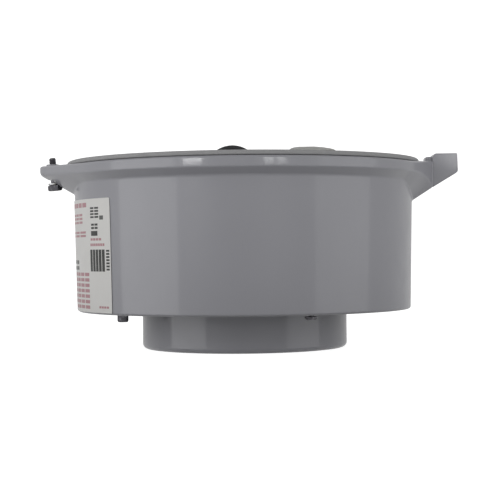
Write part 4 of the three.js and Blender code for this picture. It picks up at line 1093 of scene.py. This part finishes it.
def capacitor_cap():
    """A boot with a full dome, a ribbed skirt and an exit for the leads in its side."""
    skirt, top = low("capacitor_cap").z, high("capacitor_cap").z + 0.6
    outer, wall = (high("capacitor_cap").x - low("capacitor_cap").x) / 2, 1.8
    shoulder = top - outer

    def dome(radius):
        arc = [complex(radius * cos(a), shoulder + radius * sin(a)) for a in np.linspace(0, TURN / 4, 22)]
        return arc[:-1] + [complex(0, arc[-1].imag)]
    rim = rounded([(CAN_RADIUS + 0.3, CAN_TOP + 2, 0), (CAN_RADIUS + 0.3, skirt, 0.5), (outer, skirt, 0.8),
                   (outer, skirt + 5, 0.4), (outer - 0.5, skirt + 6, 0.4), (outer - 0.5, shoulder - 3, 0.4),
                   (outer, shoulder - 1, 0.4)])
    cap = turned("cap", dome(outer - wall)[::-1] + rim + dome(outer), 96)
    way_out = prism("exit", rounded_outline(14, 8, 3.5), outer - 8, outer + 3)
    cut(cap, moved(way_out, (0, 0, 118), about("X", -90)))
    finished(over(cap, "capacitor_can"), "capacitor_cap", "black_rubber")


def capacitor_terminals():
    for node in numbered("capacitor_terminal", 1, 2):
        lowest, highest, centre = extent(node)
        eye = moved(rod("eye", 1, -2, 2, 24), (centre.x, centre.y, highest.z - 2.6), about("X", 90))
        finished(cut(box("tab", lowest, highest, 0.3), eye), node, "brass")


def capacitor_clamp():
    lowest, place = low("capacitor_clamp"), middle("capacitor_can")
    band = over(collar_ring((CAN_RADIUS + 0.3, CAN_RADIUS + 1.8), (44, 62), (0.3, 0.4), 96),
                "capacitor_can")
    leg_x = place.x - CAN_RADIUS - 2.6
    leg = box("leg", (leg_x, place.y - 8, lowest.z), (leg_x + 1.5, place.y + 8, 62), 0.3)
    foot = box("foot", (lowest.x, place.y - 8, lowest.z), (leg_x + 1, place.y + 8, lowest.z + 1.5), 0.3)
    cut(joined(band, leg, foot), *holes_at(["capacitor_clamp_screw"], 2.4, lowest.z - 1, lowest.z + 3),
        *holes_at(["capacitor_can"], CAN_RADIUS + 0.28, lowest.z - 1, 63, 96))
    finished(band, "capacitor_clamp", "plated_steel")


# ---- ignitor, terminals, ground, leads

def ignitor():
    lowest, highest = low("ignitor_bracket"), high("ignitor_bracket")
    plate = prism("plate", rounded_outline(highest.x - lowest.x, highest.y - lowest.y, 4),
                  lowest.z, highest.z, 0.3)
    over(plate, "ignitor_bracket")
    cut(plate, *holes_at(numbered("ignitor_screw", 1, 2), 2.4, lowest.z - 1, highest.z + 1))
    finished(plate, "ignitor_bracket", "plated_steel")
    lowest, highest = low("ignitor_case"), high("ignitor_case")
    wide, deep = highest.x - lowest.x, highest.y - lowest.y
    case = prism("case", rounded_outline(wide, deep, 4), lowest.z, highest.z, 1.2, 4)
    lid = prism("lid_line", rounded_outline(wide - 7, deep - 7, 3), highest.z - 0.8, highest.z + 1)
    finished(over(cut(case, lid), "ignitor_case"), "ignitor_case", "potting")


def terminal_block():
    lowest, highest, place = extent("terminal_block")
    base = box("base", lowest, (highest.x, highest.y, lowest.z + 4), 0.6)
    body = box("body", (place.x - 22, lowest.y + 2, lowest.z), (place.x + 22, highest.y - 2, highest.z - 5),
               0.5)
    walls = [box("wall", (place.x + x - 0.9, lowest.y, lowest.z), (place.x + x + 0.9, highest.y, highest.z),
                 0.45) for x in (-22, -11, 0, 11, 22)]
    tools = holes_at(numbered("terminal_screw", 1, 2, 3, 4), 2.1, lowest.z + 3, highest.z, 32)
    tools += holes_at(numbered("terminal_foot_screw", 1, 2), 2.4, lowest.z - 1, lowest.z + 5)
    finished(cut(joined(base, body, *walls), *tools), "terminal_block", "phenolic")


def ground_tag():
    lowest, highest, screw = low("ground_tag"), high("ground_tag"), middle("ground_screw")
    eye = over(rod("eye", 5.2, lowest.z, highest.z, 48, 0.25), "ground_screw")
    tail = box("tail", (lowest.x, screw.y - 2, lowest.z), (screw.x - 3, screw.y + 2, highest.z), 0.2)
    barrel = moved(rod("barrel", 1.9, 0, 5, 24, 0.4), (lowest.x, screw.y, lowest.z + 1.9), about("Y", 90))
    tools = holes_at(["ground_screw"], 2.2, lowest.z - 1, highest.z + 1)
    finished(cut(joined(eye, tail, barrel), *tools), "ground_tag", "brass")


def ground_screw():
    bottom, top = low("ground_screw").z, high("ground_screw").z
    head = moved(hex_head("head", 4.4, -top, 0.6 - top + 2.4), turn=about("X", 180))
    collar = rod("collar", 4.9, top - 3, top - 2, 48, 0.3)
    shank = rod("shank", 1.8, bottom, top - 2.5, 32, 0.3)
    made = over(joined(head, collar, shank), "ground_screw")
    x, y, _ = middle("ground_screw")
    slot = box("slot", (x - 5, y - 0.5, top - 1), (x + 5, y + 0.5, top + 1), 0)
    finished(cut(made, slot), "ground_screw", "ground_green")


LEAD_ROUTES = {
    "line_lead": [(26.5, 63.7, 9.2), (26.5, 57, 10.5), (28, 48, 18), (33, 30, 30), (37, 5, 44),
                  (36, -15, 53), (35.4, -26.2, 55), (35.4, -32.2, 55)],
    "ignitor_lead": [(-48.7, 22, 46), (-44, 22, 46), (-34, 17, 47), (-12, 6, 58), (14, -6, 78),
                     (28, -18, 90), (35.4, -26.2, 92), (35.4, -32.2, 92)],
    "capacitor_lead_1": [(-12.6, -37, 118), (-12.6, -29, 118), (-8, -21, 117), (8, -16, 115),
                         (26, -17, 112.5), (35.4, -25.2, 112), (35.4, -32.2, 112)],
    "capacitor_lead_2": [(-5.4, -37, 118), (-5.4, -30, 118), (-1, -24, 116), (10, -21.5, 112),
                         (24, -21.5, 107), (35.4, -26.2, 104), (35.4, -32.2, 104)],
    "lamp_lead": [(-48.7, 34, 16), (-42, 34, 16), (-24, 37, 19), (-9, 38.5, 19), (-2.2, 38, 12),
                  (-2.2, 38, 4), (-2.2, 38, -4), (-3, 35.5, -9.5), (-4.4, 30, -11), (-5, 22, -11),
                  (-5, 14.4, -11)],
    "shell_lead": [(4.5, 63.7, 9.2), (4.5, 57, 11), (3.6, 48, 17.5), (2.2, 40, 17), (2.2, 38, 10),
                   (2.2, 38, 4), (2.2, 38, -4), (3, 35.5, -9.5), (4.4, 30, -11), (5, 22, -11),
                   (5, 14.4, -11)],
    "ground_lead": [(85.7, 40, 6.6), (76, 41, 7.4), (58, 45, 8.4), (36, 49, 9), (21, 52, 9.2),
                    (15.5, 57, 9.2), (15.5, 63.7, 9.2)],
}
LEAD_RADIUS = 1.4


def through(points, per_span=8):
    """A smooth line through points, with an even pull at each (a centripetal Catmull-Rom curve)."""
    knots = [Vector(p) for p in points]
    knots = [knots[0] * 2 - knots[1], *knots, knots[-1] * 2 - knots[-2]]
    line = []
    for a, b, c, d in zip(knots, knots[1:], knots[2:], knots[3:]):
        t1 = max((b - a).length, 1e-6) ** 0.5
        t2 = t1 + max((c - b).length, 1e-6) ** 0.5
        t3 = t2 + max((d - c).length, 1e-6) ** 0.5
        for k in range(per_span):
            t = t1 + (t2 - t1) * k / per_span
            ab = a.lerp(b, t / t1)
            bc = b.lerp(c, (t - t1) / (t2 - t1))
            cd = c.lerp(d, (t - t2) / (t3 - t2))
            line.append(ab.lerp(bc, t / t2).lerp(bc.lerp(cd, (t - t1) / (t3 - t1)), (t - t1) / (t2 - t1)))
    return line + [knots[-2]]


def leads():
    for node, points in LEAD_ROUTES.items():
        light, dark, slot = WIRE_COLORS[node]
        look = moulded(f"{slot}_{node[-1]}", light, dark, (0.28, 0.4), 900, 0.2)
        finished(tube("lead", through(points), LEAD_RADIUS, 20), node, slot, look=look)


# ---- floor, lights and camera

def pale_backdrop():
    """A white floor that sweeps up all round into a dome. The camera sees it, and just below it lies
    the floor that gives the tank its light from below, with a painted shadow in a ring round the tank.
    Inside the neck a darker disc on the floor is painted shade."""
    floor = RIM_Z - 0.05
    profile = rounded([(0, floor, 0), (5200, floor, 1800), (5200, 6000, 2400), (0, 6000, 0)], 16)
    sweep = turned("backdrop", profile, 128)
    sweep.visible_diffuse = False
    sweep.visible_glossy = False
    sweep.visible_shadow = False
    look = Look("white_backdrop", specular=0.0)
    look.shader.inputs["Emission Color"].default_value = (1, 1, 1, 1)
    look.shader.inputs["Emission Strength"].default_value = 0.93
    color = look.mix(look.noise(3, 2), (0.5, 0.5, 0.5), (0.48, 0.48, 0.48))
    sweep.data.materials.append(look.finish(color, 0.9))

    bounce = rod("floor", 2600, floor - 3, floor - 1, 128)
    bounce.visible_camera = False
    bounce.visible_glossy = False
    look = Look("pale_floor_with_painted_shadow", specular=0.1)
    color = look.mix(look.noise(3, 2), (0.74, 0.74, 0.735), (0.71, 0.71, 0.705))
    # Painted shadow: the floor's colour turns almost black in a ring round the tank, from about 0.11 m out,
    # and fades back to pale by 0.36 m.
    away = look.node("ShaderNodeVectorMath", {0: look.place}, operation="LENGTH").outputs["Value"]
    near, far = look.between(away, 0.104, 0.112, 1, 0), look.between(away, 0.17, 0.36, 0, 1)
    color = look.mix(look.maths("MAXIMUM", near, far), (0.03, 0.03, 0.03), color)
    bounce.data.materials.append(look.finish(color, 0.8))

    # Painted shade: a darker disc laid on the floor inside the neck, where the tank shades it.
    shade = rod("shade_in_neck", NECK_BORE - 1, floor, floor + 0.03, 96)
    look = Look("shaded_floor", specular=0.1)
    color = look.mix(look.noise(3, 2), (0.3, 0.3, 0.3), (0.27, 0.27, 0.27))
    shade.data.materials.append(look.finish(color, 0.8))


def surroundings():
    """A soft studio: lit panels all round up to about 30 degrees, and a dimmer ceiling."""
    world = bpy.data.worlds.new("studio")
    bpy.context.scene.world = world
    nodes = Nodes(world)
    sky = nodes.tree.nodes["Background"]
    place = nodes.node("ShaderNodeTexCoord").outputs["Generated"]
    ways = nodes.node("ShaderNodeSeparateXYZ", {0: place}).outputs
    smooth = {"interpolation_type": "SMOOTHSTEP"}
    front = nodes.between(ways[2], 0.3, 0.55, 0.8, 0.42, **smooth)
    back = nodes.between(ways[2], 0.3, 0.55, 0.6, 0.5, **smooth)
    behind = nodes.between(ways[1], -0.35, 0.3, 0.0, 1.0, **smooth)
    spread = nodes.maths("MULTIPLY", nodes.maths("SUBTRACT", back, front), behind)
    nodes.feed(sky.inputs["Strength"], nodes.maths("ADD", front, spread))
    sky.inputs["Color"].default_value = (1.0, 1.0, 1.0, 1.0)


def softbox(name, azimuth, height, distance, size, radiance):
    """A lit panel that faces the tank, at an azimuth in degrees from -Y towards +X."""
    light = bpy.data.lights.new(name, "AREA")
    light.shape = "RECTANGLE"
    light.size, light.size_y = size
    light.energy = radiance * pi * size[0] * size[1]
    lamp = new_object(name, light)
    angle = radians(azimuth)
    lamp.location = (distance * sin(angle), -distance * cos(angle), height)
    aim = Vector((0, 0, 0.05)) - lamp.location
    lamp.rotation_euler = aim.to_track_quat("-Z", "Y").to_euler()
    return lamp


# Azimuth in degrees, width in metres and radiance of each lamp that shows only as a highlight.
GLINTS = ((-30, 0.45, 13), (15.5, 0.22, 8), (23, 0.22, 7))


def glints():
    """Small bare lamps for the highlights on the flange's edge."""
    for azimuth, width, radiance in GLINTS:
        lamp = softbox(f"glint_{azimuth}", azimuth, 0.35, 2.2, (width, 0.2), radiance)
        lamp.visible_diffuse = False


# The camera's place in metres and its roll in radians.
CAMERA_AT, CAMERA_ROLL = (0.0053, -1.237, 0.0475), -0.010


def camera():
    lens = bpy.data.cameras.new("camera")
    lens.lens = 100
    lens.sensor_width = 36
    view = new_object("camera", lens)
    level, roll = Matrix.Rotation(TURN / 4, 4, "X"), Matrix.Rotation(CAMERA_ROLL, 4, "Z")
    view.matrix_world = Matrix.Translation(CAMERA_AT) @ level @ roll
    bpy.context.scene.camera = view


# ---- the whole scene

camera()
ballast_housing()
hood_gasket()
data_label()
closure_bolt()
guard_screws()
hinge_pin()
globe_set_screw()
small_screws()
neck_rubber()
lampholder_bracket()
lampholder_body()
lampholder_shell()
lampholder_contact()
contact_spring()
ballast_core()
winding("primary_coil")
winding("secondary_coil")
core_brackets()
core_bolts()
capacitor_can()
capacitor_cap()
capacitor_terminals()
capacitor_clamp()
ignitor()
terminal_block()
ground_tag()
ground_screw()
leads()
pale_backdrop()
surroundings()
softbox("left_softbox", -65, 0.45, 2.2, (1.9, 2.4), 1.4)
softbox("right_softbox", 68, 0.45, 2.2, (1.8, 2.4), 0.76)
glints()
bpy.context.scene.view_settings.view_transform = "Standard"
